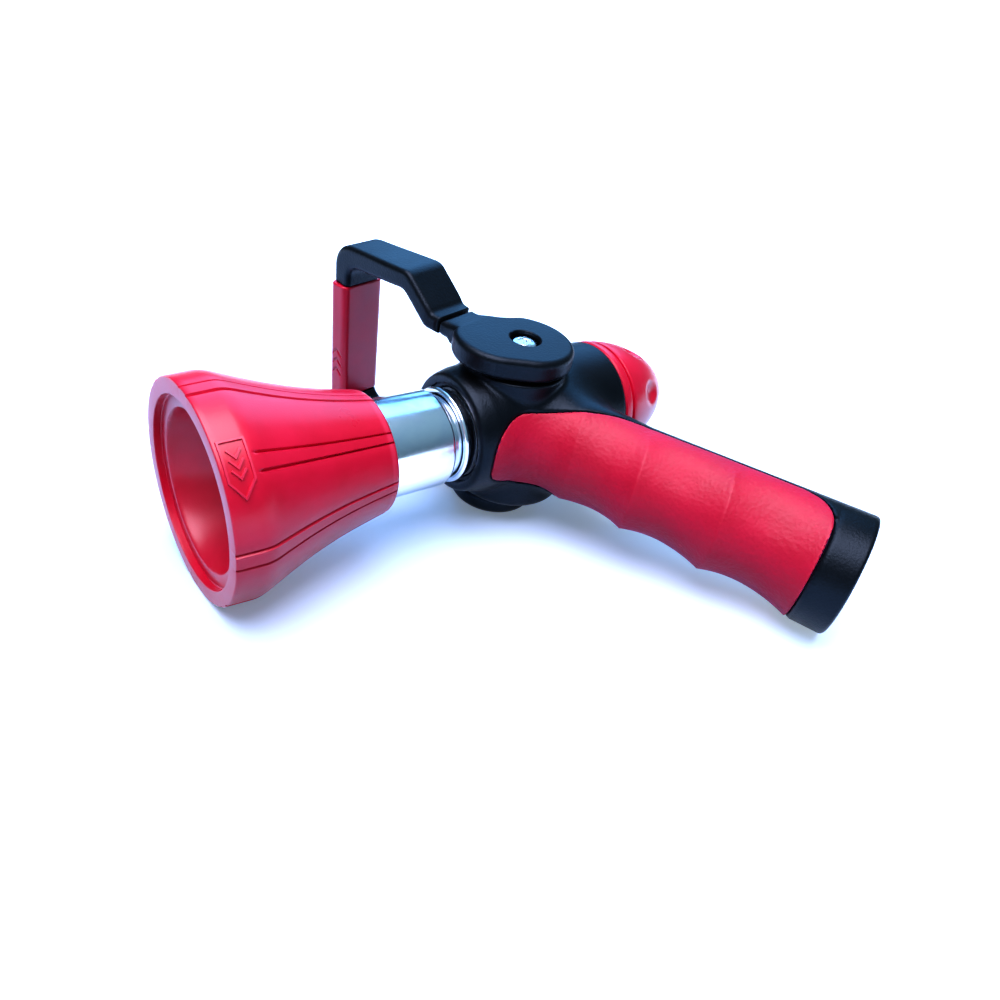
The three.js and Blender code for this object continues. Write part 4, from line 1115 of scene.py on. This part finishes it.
def make_floor():
    axes, place = floor_axes()
    corners_of_floor = [
        (FLOOR_HALF * a, FLOOR_HALF * b, 0) for a, b in ((-1, -1), (1, -1), (1, 1), (-1, 1))
    ]
    mesh = bpy.data.meshes.new("floor")
    mesh.from_pydata(corners_of_floor, [], [(0, 1, 2, 3)])
    floor = bpy.data.objects.new("floor", mesh)
    bpy.context.scene.collection.objects.link(floor)
    floor.matrix_world = Matrix.Translation(to_row(place)) @ Matrix(axes.tolist()).to_4x4()
    s = Shader("floor_paper")
    fibre = s.noise(900, 3, 0.6)
    # Pale blue floor colour, a painted tint for the shadows: where the glow below is strong the
    # floor shows white, in shade it shows blue.
    pale = s.mix(s.remap(s.noise(8, 2), 0.3, 0.7), rgb(0.56, 0.74, 0.99), rgb(0.59, 0.77, 0.99))
    rays = s.node("ShaderNodeLightPath").outputs
    # Camera and glossy rays see the pale floor; other rays see a dim grey, so the floor lights the
    # nozzle less.
    seen = s.maths("MAXIMUM", rays["Is Camera Ray"], rays["Is Glossy Ray"])
    colour = s.mix(seen, rgb(0.28, 0.32, 0.38), pale)
    away = s.node("ShaderNodeVectorMath", {0: s.place}, operation="LENGTH").outputs["Value"]
    # Painted light: for camera and glossy rays the floor glows, more with distance from its origin
    # at the bell rim's resting place, so it is white far off and the shadows near the nozzle are
    # lifted.
    painted_floor_glow = s.maths("MULTIPLY", s.remap(away, 0.10, 0.45, 0.18, 1.3), seen)
    mesh.materials.append(s.finish(
        Base_Color=colour, Roughness=0.8, Specular_IOR_Level=0.1,
        Normal=s.bump(fibre, 0.03, 0.0002),
        Emission_Color=rgb(0.80, 0.90, 1.0), Emission_Strength=painted_floor_glow,
    ))


def make_camera():
    camera = bpy.data.cameras.new("camera")
    camera.lens = FOCAL_SHARE * camera.sensor_width
    camera.clip_start = 0.01
    holder = bpy.data.objects.new("camera", camera)
    bpy.context.scene.collection.objects.link(holder)
    turn = Matrix.Rotation(math.radians(CAMERA_AZIMUTH), 4, "Z")
    tilt = Matrix.Rotation(math.radians(90 - CAMERA_ELEVATION), 4, "X")
    roll = Matrix.Rotation(math.radians(CAMERA_ROLL), 4, "Z")
    holder.matrix_world = Matrix.Translation(to_row(CAMERA_PLACE)) @ turn @ tilt @ roll
    bpy.context.scene.camera = holder


def area_light(name, place, aim, size, power, colour):
    light = bpy.data.lights.new(name, "AREA")
    light.shape = "DISK"
    light.size = size
    light.energy = power
    light.color = colour
    holder = bpy.data.objects.new(name, light)
    bpy.context.scene.collection.objects.link(holder)
    holder.location = place
    holder.rotation_euler = (Vector(aim) - Vector(place)).to_track_quat("-Z", "Y").to_euler()


def make_world():
    """Pale blue room light, brighter towards the top, and plain white where the camera sees it."""
    world = bpy.data.worlds.new("studio")
    world.use_nodes = True
    tree = world.node_tree
    tree.nodes.clear()
    rays = tree.nodes.new("ShaderNodeLightPath")
    place = tree.nodes.new("ShaderNodeTexCoord")
    split = tree.nodes.new("ShaderNodeSeparateXYZ")
    level = tree.nodes.new("ShaderNodeMapRange")
    level.inputs[1].default_value = 0.0
    level.inputs[3].default_value = 0.12
    level.inputs[4].default_value = 0.50
    room = tree.nodes.new("ShaderNodeBackground")
    room.inputs["Color"].default_value = rgb(0.48, 0.76, 1.0)
    white = tree.nodes.new("ShaderNodeBackground")
    white.inputs["Color"].default_value = rgb(1.0, 1.0, 1.0)
    either = tree.nodes.new("ShaderNodeMixShader")
    result = tree.nodes.new("ShaderNodeOutputWorld")
    tree.links.new(place.outputs["Generated"], split.inputs[0])
    tree.links.new(split.outputs["Z"], level.inputs[0])
    tree.links.new(level.outputs[0], room.inputs["Strength"])
    tree.links.new(rays.outputs["Is Camera Ray"], either.inputs[0])
    tree.links.new(room.outputs[0], either.inputs[1])
    tree.links.new(white.outputs[0], either.inputs[2])
    tree.links.new(either.outputs[0], result.inputs[0])
    bpy.context.scene.world = world


def make_light():
    aim = to_row((0, 0, 0))
    area_light("overhead", (-0.15, 0.0, 0.80), aim, 0.8, 8.5, (1.0, 0.89, 1.06))
    area_light("back_window", (0.50, 0.70, 0.62), aim, 1.1, 6.5, (0.20, 0.52, 1.0))
    area_light("front_fill", (-0.80, -0.60, 0.35), aim, 0.9, 0.3, (1.0, 0.86, 0.95))
    bpy.context.scene.view_settings.view_transform = "Standard"
    bpy.context.scene.view_settings.look = "High Contrast"


# ---------- build ----------

make_bell()
make_bell_arrow()
make_tube()
make_lip_ring()
make_cap()
make_gasket()
make_body()
make_panel()
make_coupling()
make_strap()
make_sleeve()
make_hub("upper_hub_plate", "upper_lever_hub", BAIL_FRAME, 1.9, 0.7)
make_hub("lower_hub_plate", "lower_lever_hub", UNDER_FRAME, 2.6, -0.6)
make_screw("upper_screw", "upper_hub_screw", BAIL_FRAME)
make_screw("lower_screw", "lower_hub_screw", UNDER_FRAME)
dress_kept_nodes()
make_floor()
make_world()
make_light()
make_camera()
